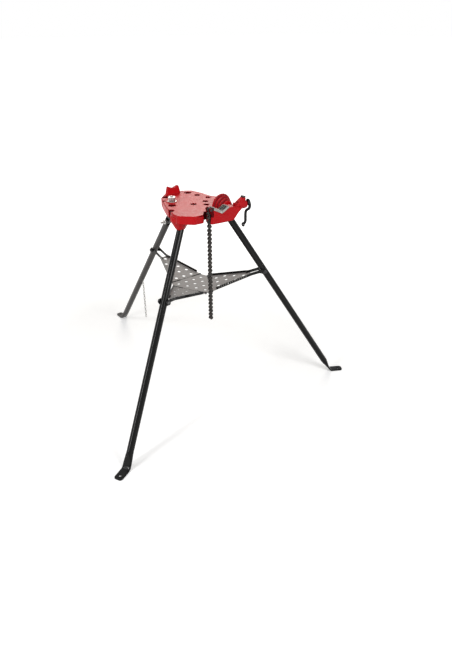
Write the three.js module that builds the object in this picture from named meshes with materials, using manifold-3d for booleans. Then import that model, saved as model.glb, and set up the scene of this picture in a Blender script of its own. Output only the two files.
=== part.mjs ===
// Folding tripod stand with a chain pipe vise, a pipe bender and a drop-down tool tray.
// Millimetres, +Z up. Someone who faces the vise has +X on their right and stands on the -Y side.
// The planes of the three legs meet on one upright axis, and plan places are measured from it.
import * as THREE from 'three';
import { mergeVertices } from 'three/addons/utils/BufferGeometryUtils.js';
import Module from 'manifold-3d';

const wasm = await Module();
wasm.setup();

// Clearances
const SEAT_GAP = 0.3;
const PIVOT_SIDE_GAP = 0.75;
const CUT_MARGIN = 1;

// Legs: pipe with a flattened, bent foot
const TUBE_DIAMETER = 26.7;
const TUBE_WALL = 2.9;
const FRONT_LEG_AZIMUTH = 28.43;
const FRONT_LEG_TILT = 32.5;
const REAR_LEG_TILT = 37.8;
const FRONT_HINGE_RADIUS = 115.2;
const REAR_HINGE_RADIUS = 220.5;
const FRONT_HINGE_DROP = 39;
const REAR_HINGE_DROP = 130;
const LEG_OVERHANG = 14;
const LEG_PIN_DIAMETER = 10;
const FOOT_LENGTH = 57.7;
const FOOT_WIDTH = 36;
const FOOT_THICKNESS = 7;
const FOOT_HOLE_DIAMETER = 11;
const FOOT_BEND_RADIUS = 17;
const FOOT_TAPER = 62;
const FOOT_GROUND_CUT = 0.4;
const FOOT_SQUARENESS = 4;
const FOOT_TOE_SHOULDER = 7.2;
const FOOT_TOE_HALF = 12;

// Rear leg bracket: a tang under the plate, with the leg's slotted top round it
const TANG_THICKNESS = 16;
const TANG_WIDTH = 25;
const TANG_FOOT_WIDTH = 44;
const TANG_FOOT_LENGTH = 60;
const TANG_FOOT_THICKNESS = 6;
const TANG_SLOT_DEPTH = 16;
const REAR_PIN_LONG = 36;
const REAR_PIN_SHORT = 16;
const REAR_COLLAR_DIAMETER = 20;
const REAR_COLLAR_THICKNESS = 5;

// Base casting: plate with a skirt, hollow below
const BASE_TOP = 845;
const BASE_PLATE = 8;
const BASE_SKIRT = 32;
const BASE_WALL = 7;
const BASE_EDGE = 2;
const BASE_INNER_ROUND = 1;
const BASE_FRONT = -136.4;
const SOCKET_WALL = 3;
const SOCKET_DEPTH = 61;
const SOCKET_SHOULDER = 34;
const SOCKET_LIP = 5;
const SOCKET_INSIDE = 23;
const SOCKET_REACH = { left: 164, right: 142 };
const SOCKET_SQUARENESS = 3;
const FRONT_PIN_HALF = 29.5;

// Plan of the plate: x, y, corner radius, counter-clockwise from the left front corner
const BASE_OUTLINE = [
  [-144, -90, 18],
  [-98, -134, 22],
  [-60, BASE_FRONT, 8],
  [-30, -100, 8],
  [-12, BASE_FRONT, 4],
  [62, BASE_FRONT, 8],
  [87, -115.4, 10],
  [143, -8.4, 16],
  [108, 56.6, 20],
  [104, 112.6, 30],
  [90, 165.6, 20],
  [50, 189.6, 22],
  [-30, 185.6, 22],
  [-70, 145.6, 16],
  [-93, 95.6, 30],
  [-118, 32.6, 30],
  [-143, -59.4, 14],
];

// Tool holes through the plate, the last one open at its edge: x, y, diameter
const TOOL_HOLES = [
  [57, 143.6, 28],
  [69, 92.6, 23],
  [86, 40, 22],
  [46, 2, 22],
  [24, -36, 22],
  [-13, -2, 24],
  [-48, 143, 32],
  [-84, 100, 14],
  [-89, 32, 28],
  [-129, -19, 30],
];

// Rear pipe rest and pipe bender, cast on the plate; the bender's axis runs along Y
const REST_Y = 167.6;
const REST_THICKNESS = 15;
const REST_HEIGHT = 33;
const REST_NOTCH = 9;
const REST_HALF_SPAN = 24.5;
const REST_HALF_FOOT = 34;
const REST_HALF_NECK = 29;
const REST_NECK_ROUND = 8;
const REST_TIP_ROUND = 3;
const REST_NOTCH_ROUND = 6;
const BENDER_X = 65;
const BENDER_FRONT = -114;
const BENDER_LENGTH = 36;
const BENDER_FRONT_RADIUS = 26;
const BENDER_REAR_RADIUS = 45;
const BENDER_GROOVES = 3;
const BENDER_GROOVE_DEPTH = 5;
const BENDER_RIM = 3;

// Vise body in front of the plate: x, height over the plate, corner radius
const VISE_DEPTH = 32;
const VEE_X = 2;
const VEE_RISE = 1;
const VEE_SLOPE = 27;
const VEE_LEFT_HALF = 40;
const VEE_RIGHT_HALF = 34;
const VEE_ROUND = 4;
const VISE_LEFT = -48;
const VISE_OUTLINE = [
  [VISE_LEFT, -32, 6],
  [23, -35, 10],
  [57, -34, 10],
  [79, -10, 14],
  [99, 5, 5],
  [64, 16, 6],
];
const ARM_DEPTH = 22;
const ARM_TIP_RISE = 40;
const ARM_OUTLINE = [
  [70, -8, 0],
  [98, 3, 6],
  [110, 15, 8],
  [118, ARM_TIP_RISE, 3],
  [103, ARM_TIP_RISE, 3],
  [65, 16, 6],
  [56, 2, 0],
];
const ARM_TIP_LEFT = 105;
const ARM_TIP_RIGHT = 116;
const ARM_CAP_THICKNESS = 6;
const ARM_CAP_INSET = 1.5;
const ARM_CAP_ROUND = 3;

// Toothed jaws
const JAW_THICKNESS = 8;
const JAW_SETBACK = 2;
const JAW_TEETH = 9;
const TOOTH_HEIGHT = 1.8;

// Clamp screw in the arm, its crank and the hook that it draws along
const SCREW_RISE = 13;
const SCREW_DIAMETER = 9;
const SCREW_BOSS_DIAMETER = 31;
const SCREW_BOSS_START = 88;
const SCREW_BOSS_END = 122;
const SCREW_START = 68.5;
const HOOK_SLOT_START = 66;
const HOOK_SLOT_END = 100;
const HOOK_WIDTH = 13.2;
const HOOK_START = 67;
const HOOK_LENGTH = 16;
const HOOK_FLOOR = 9;
const HOOK_TOP = 13;
const HOOK_LIP = 4;
const HOOK_NOTCH = 4;
const THRUST_COLLAR_DIAMETER = 18;
const CRANK_X = 131;
const CRANK_ROD = 11.2;
const CRANK_HUB_DIAMETER = 17;
const CRANK_RING_RADIUS = 6;
const CRANK_RING_ROD = 6;
const CRANK_RING_BACK = 22;
const CRANK_RING_DROP = 89;
const CRANK_NUT_DIAMETER = 20;
const CRANK_NUT_THICKNESS = 6;

// Middle line of the crank: back and down from the screw's axis
const CRANK_LINE = [
  [1, -5],
  [-3, -13.5],
  [-10.5, -10],
  [-16, 3],
  [-13, 15.5],
  [-3, 23],
  [6, 31],
  [8.4, 42],
  [8.4, 58],
  [9, 73],
  [18, 85],
];

// Vise chain, hung from a pin at the left end of the vee
const CHAIN_X = -46;
const CHAIN_RISE = 22;
const CHAIN_PITCH = 15.875;
const CHAIN_TOP_LINKS = 4;
const CHAIN_MIDDLE_LINKS = 12;
const CHAIN_BOTTOM_LINKS = 12;
const LINK_END_RADIUS = 6.6;
const LINK_WAIST = 3;
const LINK_INNER_WIDTH = 7.6;
const LINK_PLATE = 2.4;
const LINK_LEAN = 38;
const CHAIN_PIN_DIAMETER = 4.4;
const CHAIN_PIN_INSET = 0.6;
const CHAIN_GROOVE_GAP = 2;
const ANCHOR_PIN_DIAMETER = 6;
const ANCHOR_EAR = 7;
const ANCHOR_EAR_RADIUS = 8;
const ANCHOR_EAR_FOOT = 22;
const ANCHOR_EAR_ROOT = 5;

// Ceiling-brace screw on the plate
const BRACE_X = -65;
const BRACE_Y = 70.6;
const BRACE_PAD_DIAMETER = 44;
const BRACE_PAD_RISE = 2;
const BRACE_NUT_RADIUS = 17;
const BRACE_NUT_SIDES = 4;
const BRACE_NUT_HEIGHT = 16;
const BRACE_NUT_TURN = 8;
const BRACE_WASHER_DIAMETER = 37;
const BRACE_WASHER_THICKNESS = 2;
const BRACE_STEM_DIAMETER = 14;
const BRACE_STEM_RECESS = 4;
const BRACE_STEM_LENGTH = 48;

// Tool tray: a centre panel and three hinged leaves of folded sheet
const TRAY_HEIGHT = 493;
const TRAY_PIVOT_HEIGHT = 546.5;
const FRONT_FOLD_RADIUS = 50.3;
const REAR_FOLD_RADIUS = 93.6;
const REAR_FOLD_HALF = 75;
const FRONT_FOLD_NEAR = 62;
const FRONT_FOLD_FAR = 92;
const FRONT_TRAY_ARM = 58;
const REAR_TRAY_ARM = 74;
const SHEET = 2.5;
const FOLD_GAP = 1.6;
const FLANGE_RISE = 10.5;
const FLANGE_SETBACK = 18;
const FLANGE_SLOT_PITCH = 10.5;
const FLANGE_SLOT_WIDTH = 4;
const FLANGE_SLOT_HEIGHT = 6;
const FLANGE_SLOT_LEAN = 24;
const TRAY_ARM_SHEET = 3.6;
const TRAY_ARM_ROUND = 8;
const TRAY_EAR_RADIUS = 12;
const TRAY_BOLT_DIAMETER = 9;
const TRAY_HOLE_DIAMETER = 14;
const TRAY_HOLE_PITCH = 38;
const TRAY_HOLE_EDGE = 15;
const KNUCKLE_RADIUS = 3.6;
const KNUCKLE_LENGTH = 20;
const KNUCKLE_SETBACK = 24;
const FOLD_PIN_DIAMETER = 3.4;

// Leg-tie chain on the rear leg
const TIE_HEIGHT = 335;
const TIE_LINKS = 15;
const TIE_PITCH = 13;
const TIE_LINK_WIDTH = 8.4;
const TIE_WIRE = 2.4;
const TIE_EYE_RADIUS = 5;
const TIE_EYE_STAND_OFF = 8;
const TIE_PLAY = 0.9;

// Facet counts
const TUBE_SIDES = 12;
const ROUND_SIDES = 14;
const SMALL_SIDES = 8;
const DRUM_SIDES = 26;
const HEX_SIDES = 6;
const PIN_SIDES = 6;
const WIRE_SIDES = 4;
const CORNER_STEPS = 3;
const LINK_ARC_STEPS = 3;
const CRANK_STEPS = 18;

const rad = THREE.MathUtils.degToRad;
const { lerp } = THREE.MathUtils;
const ROD_AXIS = new THREE.Vector3(0, 1, 0);
const VISE_FRONT = BASE_FRONT - VISE_DEPTH;
const VISE_MIDDLE = BASE_FRONT - VISE_DEPTH / 2;
const SCREW_HEIGHT = BASE_TOP + SCREW_RISE;
const CHAIN_HEIGHT = BASE_TOP + CHAIN_RISE;
const BASE_UNDERSIDE = BASE_TOP - BASE_PLATE;
const SKIRT_FOOT = BASE_TOP - BASE_SKIRT;
const TUBE_RADIUS = TUBE_DIAMETER / 2;
const PIVOT_HALF = TUBE_RADIUS + PIVOT_SIDE_GAP;

function metal(color, roughness, metalness) {
  return new THREE.MeshStandardMaterial({ color, roughness, metalness });
}
const redPaint = () => metal(0xb5161d, 0.25, 0.1);
const blackPaint = () => metal(0x141414, 0.25, 0.2);
const darkSteel = () => metal(0x2a2a2c, 0.45, 0.8);
const greySheet = () => metal(0x8d8d90, 0.45, 0.7);
const zincSteel = () => metal(0xc9c8c4, 0.3, 0.9);

// Solids from closed meshes, and back
function solidOf(geometry) {
  const bare = geometry.clone();
  bare.deleteAttribute('normal');
  bare.deleteAttribute('uv');
  const merged = mergeVertices(bare, 1e-4);
  const corners = merged.index.array;
  const kept = [];
  for (let i = 0; i < corners.length; i += 3) {
    const [a, b, c] = corners.slice(i, i + 3);
    if (a !== b && b !== c && c !== a) {
      kept.push(a, b, c);
    }
  }
  return new wasm.Manifold(new wasm.Mesh({
    numProp: 3,
    vertProperties: new Float32Array(merged.attributes.position.array),
    triVerts: new Uint32Array(kept),
  }));
}

function geometryOf(solid) {
  const mesh = solid.getMesh();
  const geometry = new THREE.BufferGeometry();
  geometry.setAttribute('position', new THREE.BufferAttribute(mesh.vertProperties, 3));
  geometry.setIndex(new THREE.BufferAttribute(mesh.triVerts, 1));
  geometry.computeVertexNormals();
  return geometry;
}

function joined(geometries) {
  return geometries.map(solidOf).reduce((whole, solid) => whole.add(solid));
}

function cutBy(solid, geometries) {
  return geometries.map(solidOf).reduce((rest, tool) => rest.subtract(tool), solid);
}

// A closed outline with rounded corners: x, y, radius
function outline(corners) {
  const shape = new THREE.Shape();
  corners.forEach(([x, y, radius = 0], i) => {
    const corner = new THREE.Vector2(x, y);
    const [beforeX, beforeY] = corners.at(i - 1);
    const [afterX, afterY] = corners[(i + 1) % corners.length];
    const before = new THREE.Vector2(beforeX, beforeY).sub(corner).normalize();
    const after = new THREE.Vector2(afterX, afterY).sub(corner).normalize();
    const reach = radius / Math.tan(Math.acos(before.dot(after)) / 2);
    const start = before.multiplyScalar(reach).add(corner);
    const end = after.multiplyScalar(reach).add(corner);
    if (i === 0) {
      shape.moveTo(start.x, start.y);
    } else {
      shape.lineTo(start.x, start.y);
    }
    if (radius > 0) {
      shape.quadraticCurveTo(x, y, end.x, end.y);
    }
  });
  shape.closePath();
  return shape;
}

function inset(corners, distance) {
  return corners.map(([x, y, radius], i) => {
    const [beforeX, beforeY] = corners.at(i - 1);
    const [afterX, afterY] = corners[(i + 1) % corners.length];
    const along = new THREE.Vector2(x - beforeX, y - beforeY).normalize();
    const next = new THREE.Vector2(afterX - x, afterY - y).normalize();
    const slide = distance * (1 - along.dot(next)) / along.cross(next);
    const shift = new THREE.Vector2(-along.y, along.x).multiplyScalar(distance).addScaledVector(along, -slide);
    return [x + shift.x, y + shift.y, Math.max(radius - distance, BASE_INNER_ROUND)];
  });
}

function slab(shape, low, high, edge = 0) {
  const geometry = new THREE.ExtrudeGeometry(shape, {
    depth: high - low - 2 * edge,
    curveSegments: CORNER_STEPS,
    bevelEnabled: edge > 0,
    bevelThickness: edge,
    bevelSize: edge,
    bevelOffset: -edge,
    bevelSegments: 1,
  });
  return geometry.translate(0, 0, low + edge);
}

// An outline in the XZ plane, drawn out along Y between two places
function upright(shape, one, other, edge = 0) {
  return slab(shape, Math.min(-one, -other), Math.max(-one, -other), edge).rotateX(Math.PI / 2);
}

function rod(from, to, radius, sides = ROUND_SIDES) {
  const start = new THREE.Vector3(...from);
  const along = new THREE.Vector3(...to).sub(start);
  const geometry = new THREE.CylinderGeometry(radius, radius, along.length(), sides);
  geometry.applyQuaternion(new THREE.Quaternion().setFromUnitVectors(ROD_AXIS, along.clone().normalize()));
  return geometry.translate(...start.addScaledVector(along, 1 / 2).toArray());
}

// Radius of a bore whose flats clear a round pin
function bored(radius, sides = SMALL_SIDES) {
  return (radius + SEAT_GAP) / Math.cos(Math.PI / sides);
}

function post(x, y, low, high, radius, sides = ROUND_SIDES) {
  return rod([x, y, low], [x, y, high], radius, sides);
}

// A bar across a radial plane
function crossBar(place, low, high, radius, sides = SMALL_SIDES) {
  return rod([place.x, low, place.y], [place.x, high, place.y], radius, sides);
}

function box(low, high) {
  const size = high.map((value, i) => value - low[i]);
  const centre = high.map((value, i) => (value + low[i]) / 2);
  return new THREE.BoxGeometry(...size).translate(...centre);
}

// Quads between rings of points; a closed path joins its last ring to its first
function skin(rings, closed) {
  const sides = rings[0].length;
  const spans = closed ? rings.length : rings.length - 1;
  const index = [];
  for (let ring = 0; ring < spans; ring += 1) {
    const next = (ring + 1) % rings.length;
    for (let side = 0; side < sides; side += 1) {
      const a = ring * sides + side;
      const b = ring * sides + (side + 1) % sides;
      const c = next * sides + side;
      const d = next * sides + (side + 1) % sides;
      index.push(a, b, d, a, d, c);
    }
  }
  return index;
}

function loft(rings) {
  const sides = rings[0].length;
  const index = skin(rings, false);
  const last = (rings.length - 1) * sides;
  for (let side = 1; side + 1 < sides; side += 1) {
    index.push(0, side + 1, side);
    index.push(last, last + side, last + side + 1);
  }
  return facingOut(rings.flat(), index);
}

// Triangles wound so that they face out of the body
function facingOut(points, index) {
  const faces = [];
  for (let i = 0; i < index.length; i += 3) {
    faces.push(index.slice(i, i + 3));
  }
  const content = faces.reduce((sum, [a, b, c]) => (
    sum + points[a].dot(new THREE.Vector3().crossVectors(points[b], points[c]))), 0);
  const wound = content > 0 ? faces : faces.map(([a, b, c]) => [a, c, b]);
  const geometry = new THREE.BufferGeometry().setFromPoints(points);
  geometry.setIndex(wound.flat());
  return geometry;
}

// A ring across a path in a radial plane: half sizes in the plane and across it
function section(centre, normal, inPlane, across, squareness = 2) {
  const blunt = (value) => Math.sign(value) * Math.abs(value) ** (2 / squareness);
  return Array.from({ length: TUBE_SIDES }, (_, i) => {
    const angle = (i + 1 / 2) * 2 * Math.PI / TUBE_SIDES;
    const a = inPlane * blunt(Math.cos(angle));
    const b = across * blunt(Math.sin(angle));
    return new THREE.Vector3(centre.x + normal.x * a, b, centre.y + normal.y * a);
  });
}

function piece(name, geometry, material) {
  const mesh = new THREE.Mesh(geometry, material);
  mesh.name = name;
  return mesh;
}

// Each leg's plane: u runs outward from the stand's axis, z up
function legPlan(name, azimuth, tilt, hingeRadius, hingeDrop, foldRadius, trayArm) {
  const down = new THREE.Vector2(Math.sin(rad(tilt)), -Math.cos(rad(tilt)));
  const outward = new THREE.Vector2(Math.cos(rad(tilt)), Math.sin(rad(tilt)));
  const hinge = new THREE.Vector2(hingeRadius, BASE_TOP - hingeDrop);
  const at = (t) => hinge.clone().addScaledVector(down, t);
  const level = (z) => at((z - hinge.y) / down.y);
  const pivot = level(TRAY_PIVOT_HEIGHT);
  return { name, azimuth, tilt, down, outward, hinge, at, level, pivot, foldRadius, trayArm };
}

const leftLeg = legPlan('left', 180 + FRONT_LEG_AZIMUTH, FRONT_LEG_TILT, FRONT_HINGE_RADIUS, FRONT_HINGE_DROP,
  FRONT_FOLD_RADIUS, FRONT_TRAY_ARM);
const rightLeg = legPlan('right', -FRONT_LEG_AZIMUTH, FRONT_LEG_TILT, FRONT_HINGE_RADIUS, FRONT_HINGE_DROP,
  FRONT_FOLD_RADIUS, FRONT_TRAY_ARM);
const rearLeg = legPlan('rear', 90, REAR_LEG_TILT, REAR_HINGE_RADIUS, REAR_HINGE_DROP,
  REAR_FOLD_RADIUS, REAR_TRAY_ARM);
const legs = [leftLeg, rightLeg, rearLeg];
const frontLegs = [leftLeg, rightLeg];

function turned(geometry, leg) {
  return geometry.rotateZ(rad(leg.azimuth));
}

// Sockets of the base: a funnel from the skirt to each front leg, open towards the stand's axis
const SOCKET_RADIUS = Math.hypot(LEG_OVERHANG, TUBE_RADIUS) + CUT_MARGIN;
const SOCKET_HALF = PIVOT_HALF + SOCKET_WALL;

function socketBoss(leg) {
  const inner = leg.hinge.x - SOCKET_INSIDE;
  const outer = SOCKET_REACH[leg.name];
  const level = new THREE.Vector2(1, 0);
  const mouth = (z) => section(new THREE.Vector2((inner + outer) / 2, z), level,
    (outer - inner) / 2, SOCKET_SHOULDER, SOCKET_SQUARENESS);
  const footHalf = (TUBE_RADIUS + SOCKET_WALL + CUT_MARGIN) / Math.cos(rad(leg.tilt));
  return loft([
    mouth(BASE_UNDERSIDE + CUT_MARGIN),
    mouth(SKIRT_FOOT + SOCKET_LIP),
    section(leg.level(BASE_TOP - SOCKET_DEPTH), level, footHalf, SOCKET_HALF),
  ]);
}

function socketCut(leg) {
  const reach = TUBE_RADIUS + CUT_MARGIN;
  const outer = leg.hinge.clone().addScaledVector(leg.outward, reach);
  const outerFoot = outer.clone().addScaledVector(leg.down, SOCKET_DEPTH * 2);
  const inner = leg.hinge.x - reach;
  const wedge = outline([
    [inner, leg.hinge.y],
    [inner, outerFoot.y],
    [outerFoot.x, outerFoot.y],
    [outer.x, outer.y],
  ]);
  const swing = crossBar(leg.hinge, -PIVOT_HALF, PIVOT_HALF, SOCKET_RADIUS, ROUND_SIDES);
  return geometryOf(joined([upright(wedge, -PIVOT_HALF, PIVOT_HALF), swing]));
}

function frontPin(leg) {
  return crossBar(leg.hinge, -FRONT_PIN_HALF, FRONT_PIN_HALF, LEG_PIN_DIAMETER / 2);
}

function frontPinBore(leg) {
  const half = FRONT_PIN_HALF + SOCKET_RADIUS;
  return crossBar(leg.hinge, -half, half, bored(LEG_PIN_DIAMETER / 2));
}

// Pipe bender: a half cone on the plate, stepped into grooves that widen to the rear
function benderDrum() {
  const pitch = BENDER_LENGTH / BENDER_GROOVES;
  const ridge = (step) => lerp(BENDER_FRONT_RADIUS, BENDER_REAR_RADIUS, step / BENDER_GROOVES);
  const profile = [[0, -BENDER_RIM], [BENDER_FRONT_RADIUS - BENDER_RIM, -BENDER_RIM], [BENDER_FRONT_RADIUS, 0]];
  for (let i = 0; i < BENDER_GROOVES; i += 1) {
    for (const share of [1 / 3, 2 / 3]) {
      profile.push([ridge(i + share) - BENDER_GROOVE_DEPTH, (i + share) * pitch]);
    }
    profile.push([ridge(i + 1), (i + 1) * pitch]);
  }
  const rear = BENDER_LENGTH + BENDER_RIM;
  profile.push([BENDER_REAR_RADIUS - BENDER_RIM, rear], [0, rear]);
  const points = profile.map(([r, along]) => new THREE.Vector2(r, along));
  const drum = new THREE.LatheGeometry(points, DRUM_SIDES).translate(BENDER_X, BENDER_FRONT, BASE_TOP);
  const half = box(
    [BENDER_X - BENDER_REAR_RADIUS, BENDER_FRONT - BENDER_LENGTH, BASE_UNDERSIDE + CUT_MARGIN],
    [BENDER_X + BENDER_REAR_RADIUS, BENDER_FRONT + rear, BASE_TOP + BENDER_REAR_RADIUS],
  );
  return geometryOf(solidOf(drum).intersect(solidOf(half)));
}

function pipeRest() {
  const tip = BASE_TOP + REST_HEIGHT;
  const waist = BASE_TOP + REST_HEIGHT / 2;
  const shape = outline([
    [-REST_HALF_FOOT, BASE_TOP - BASE_PLATE / 2],
    [REST_HALF_FOOT, BASE_TOP - BASE_PLATE / 2],
    [REST_HALF_NECK, waist, REST_NECK_ROUND],
    [REST_HALF_SPAN, tip, REST_TIP_ROUND],
    [0, tip - REST_NOTCH, REST_NOTCH_ROUND],
    [-REST_HALF_SPAN, tip, REST_TIP_ROUND],
    [-REST_HALF_NECK, waist, REST_NECK_ROUND],
  ]);
  return upright(shape, REST_Y - REST_THICKNESS / 2, REST_Y + REST_THICKNESS / 2, BASE_EDGE / 2);
}

// Vise body and arm
const VEE_HEIGHT = BASE_TOP + VEE_RISE;
const VEE_GRADE = Math.tan(rad(VEE_SLOPE));
const VEE_SHOULDER = VEE_HEIGHT + VEE_LEFT_HALF * VEE_GRADE;
const ARM_TIP = BASE_TOP + ARM_TIP_RISE;
const overPlate = ([x, rise, radius]) => [x, BASE_TOP + rise, radius];

function viseBody() {
  const shape = outline([
    ...VISE_OUTLINE.map(overPlate),
    [VEE_X + VEE_RIGHT_HALF, VEE_HEIGHT + VEE_RIGHT_HALF * VEE_GRADE, VEE_ROUND],
    [VEE_X, VEE_HEIGHT],
    [VEE_X - VEE_LEFT_HALF, VEE_SHOULDER, VEE_ROUND],
  ]);
  return upright(shape, VISE_FRONT, BASE_FRONT + BASE_WALL, BASE_EDGE);
}

function viseArm() {
  const half = ARM_DEPTH / 2;
  return upright(outline(ARM_OUTLINE.map(overPlate)), VISE_MIDDLE - half, VISE_MIDDLE + half, BASE_EDGE);
}

// The chain hangs in a groove at the vise's left end, from a pin between two ears
const CHAIN_HALF = LINK_INNER_WIDTH / 2 + LINK_PLATE;
const EAR_INNER = CHAIN_HALF + CUT_MARGIN;

function chainGroove() {
  const reach = LINK_END_RADIUS + CHAIN_GROOVE_GAP;
  return box(
    [CHAIN_X - 2 * reach, VISE_MIDDLE - EAR_INNER, SKIRT_FOOT - BASE_SKIRT],
    [CHAIN_X + reach, VISE_MIDDLE + EAR_INNER, BASE_TOP + ARM_TIP_RISE],
  );
}

function anchorEar(side) {
  const inner = VISE_MIDDLE + side * EAR_INNER;
  const outer = inner + side * ANCHOR_EAR;
  const foot = VEE_SHOULDER - ANCHOR_EAR_FOOT;
  const strap = outline([
    [CHAIN_X - ANCHOR_EAR_RADIUS, CHAIN_HEIGHT],
    [VISE_LEFT + ANCHOR_EAR_ROOT, foot],
    [VISE_LEFT + ANCHOR_EAR_ROOT + ANCHOR_EAR_RADIUS, foot],
    [CHAIN_X + ANCHOR_EAR_RADIUS, CHAIN_HEIGHT],
  ]);
  const ring = rod([CHAIN_X, inner, CHAIN_HEIGHT], [CHAIN_X, outer, CHAIN_HEIGHT], ANCHOR_EAR_RADIUS);
  return geometryOf(joined([upright(strap, inner, outer), ring]));
}

function alongScrew(start, end, radius, sides = ROUND_SIDES) {
  return rod([start, VISE_MIDDLE, SCREW_HEIGHT], [end, VISE_MIDDLE, SCREW_HEIGHT], radius, sides);
}

function hookSlot() {
  const half = HOOK_WIDTH / 2 + 2 * SEAT_GAP;
  return box(
    [HOOK_SLOT_START, VISE_MIDDLE - half, SCREW_HEIGHT - HOOK_FLOOR - SEAT_GAP],
    [HOOK_SLOT_END, VISE_MIDDLE + half, SCREW_HEIGHT + HOOK_TOP + 2 * SEAT_GAP],
  );
}

const BRACE_SEAT = BASE_TOP + BRACE_PAD_RISE;

function toolHole([x, y, diameter]) {
  return post(x, y, SKIRT_FOOT - CUT_MARGIN, BASE_TOP + CUT_MARGIN, diameter / 2);
}

function baseCasting() {
  const shell = solidOf(slab(outline(BASE_OUTLINE), SKIRT_FOOT, BASE_TOP, BASE_EDGE));
  const hollow = slab(outline(inset(BASE_OUTLINE, BASE_WALL)), SKIRT_FOOT - CUT_MARGIN, BASE_UNDERSIDE);
  const plate = geometryOf(cutBy(shell, [hollow, ...TOOL_HOLES.map(toolHole)]));
  const body = joined([
    plate,
    ...frontLegs.map((leg) => turned(socketBoss(leg), leg)),
    benderDrum(),
    pipeRest(),
    geometryOf(cutBy(solidOf(viseBody()), [chainGroove()])),
    viseArm(),
    alongScrew(SCREW_BOSS_START, SCREW_BOSS_END, SCREW_BOSS_DIAMETER / 2),
    anchorEar(-1),
    anchorEar(1),
    post(BRACE_X, BRACE_Y, BASE_UNDERSIDE + CUT_MARGIN, BRACE_SEAT, BRACE_PAD_DIAMETER / 2),
  ]);
  return geometryOf(cutBy(body, [
    ...frontLegs.map((leg) => turned(socketCut(leg), leg)),
    ...frontLegs.map((leg) => turned(frontPinBore(leg), leg)),
    turned(bracketRelief(rearLeg), rearLeg),
    hookSlot(),
    alongScrew(HOOK_SLOT_START, SCREW_BOSS_END + CUT_MARGIN, bored(SCREW_DIAMETER / 2, ROUND_SIDES)),
    post(BRACE_X, BRACE_Y, SKIRT_FOOT, BRACE_SEAT + CUT_MARGIN, bored(BRACE_STEM_DIAMETER / 2, ROUND_SIDES)),
    rod([CHAIN_X, VISE_FRONT - CUT_MARGIN, CHAIN_HEIGHT], [CHAIN_X, BASE_FRONT, CHAIN_HEIGHT],
      bored(ANCHOR_PIN_DIAMETER / 2, PIN_SIDES), PIN_SIDES),
  ]));
}

// Toothed jaws on the two slopes of the vee: side is 1 on the right and -1 on the left
function jaw(side) {
  const cos = Math.cos(rad(VEE_SLOPE));
  const sin = Math.sin(rad(VEE_SLOPE));
  const at = (s, h) => [VEE_X + side * (s * cos - h * sin), VEE_HEIGHT + s * sin + h * cos];
  const length = (side > 0 ? VEE_RIGHT_HALF : VEE_LEFT_HALF) / cos - JAW_SETBACK;
  const mitre = (h) => (SEAT_GAP + h * sin) / cos;
  const start = mitre(JAW_THICKNESS + TOOTH_HEIGHT);
  const pitch = (length - start) / JAW_TEETH;
  const corners = [at(mitre(SEAT_GAP), SEAT_GAP), at(length, SEAT_GAP)];
  for (let i = JAW_TEETH; i > 0; i -= 1) {
    corners.push(at(start + i * pitch, JAW_THICKNESS));
    corners.push(at(start + (i - 1) * pitch, JAW_THICKNESS + TOOTH_HEIGHT));
  }
  return upright(outline(corners), VISE_FRONT + CUT_MARGIN, BASE_FRONT - CUT_MARGIN);
}

function armCap() {
  const half = ARM_DEPTH / 2 - ARM_CAP_INSET;
  const shape = outline([
    [ARM_TIP_LEFT, ARM_TIP + SEAT_GAP],
    [ARM_TIP_RIGHT, ARM_TIP + SEAT_GAP],
    [ARM_TIP_RIGHT, ARM_TIP + ARM_CAP_THICKNESS, ARM_CAP_ROUND],
    [ARM_TIP_LEFT, ARM_TIP + ARM_CAP_THICKNESS, ARM_CAP_ROUND],
  ]);
  return upright(shape, VISE_MIDDLE - half, VISE_MIDDLE + half);
}

// Clamp screw, crank and draw hook
const HUB_START = CRANK_X - CRANK_ROD / 2;
const HUB_END = CRANK_X + CRANK_ROD / 2;

function clampScrew() {
  return geometryOf(joined([
    alongScrew(SCREW_START, HUB_END, SCREW_DIAMETER / 2),
    alongScrew(SCREW_BOSS_END + SEAT_GAP, HUB_START - SEAT_GAP, THRUST_COLLAR_DIAMETER / 2),
  ]));
}

function crankHandle() {
  const path = new THREE.CatmullRomCurve3(CRANK_LINE.map(([back, drop]) => (
    new THREE.Vector3(CRANK_X, VISE_MIDDLE + back, SCREW_HEIGHT - drop))));
  const round = new THREE.Shape().absarc(0, 0, CRANK_ROD / 2, 0, 2 * Math.PI);
  const shank = new THREE.ExtrudeGeometry(round, {
    extrudePath: path,
    steps: CRANK_STEPS,
    curveSegments: SMALL_SIDES / 2,
  });
  const ring = new THREE.TorusGeometry(CRANK_RING_RADIUS, CRANK_RING_ROD / 2, HEX_SIDES, ROUND_SIDES)
    .rotateY(Math.PI / 2)
    .translate(CRANK_X, VISE_MIDDLE + CRANK_RING_BACK, SCREW_HEIGHT - CRANK_RING_DROP);
  const whole = joined([alongScrew(HUB_START, HUB_END, CRANK_HUB_DIAMETER / 2), shank, ring]);
  const bore = alongScrew(HUB_START - CUT_MARGIN, HUB_END + CUT_MARGIN, bored(SCREW_DIAMETER / 2, ROUND_SIDES));
  return geometryOf(cutBy(whole, [bore]));
}

function crankNut() {
  const face = HUB_END + SEAT_GAP;
  return alongScrew(face, face + CRANK_NUT_THICKNESS, CRANK_NUT_DIAMETER / 2, HEX_SIDES);
}

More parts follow.
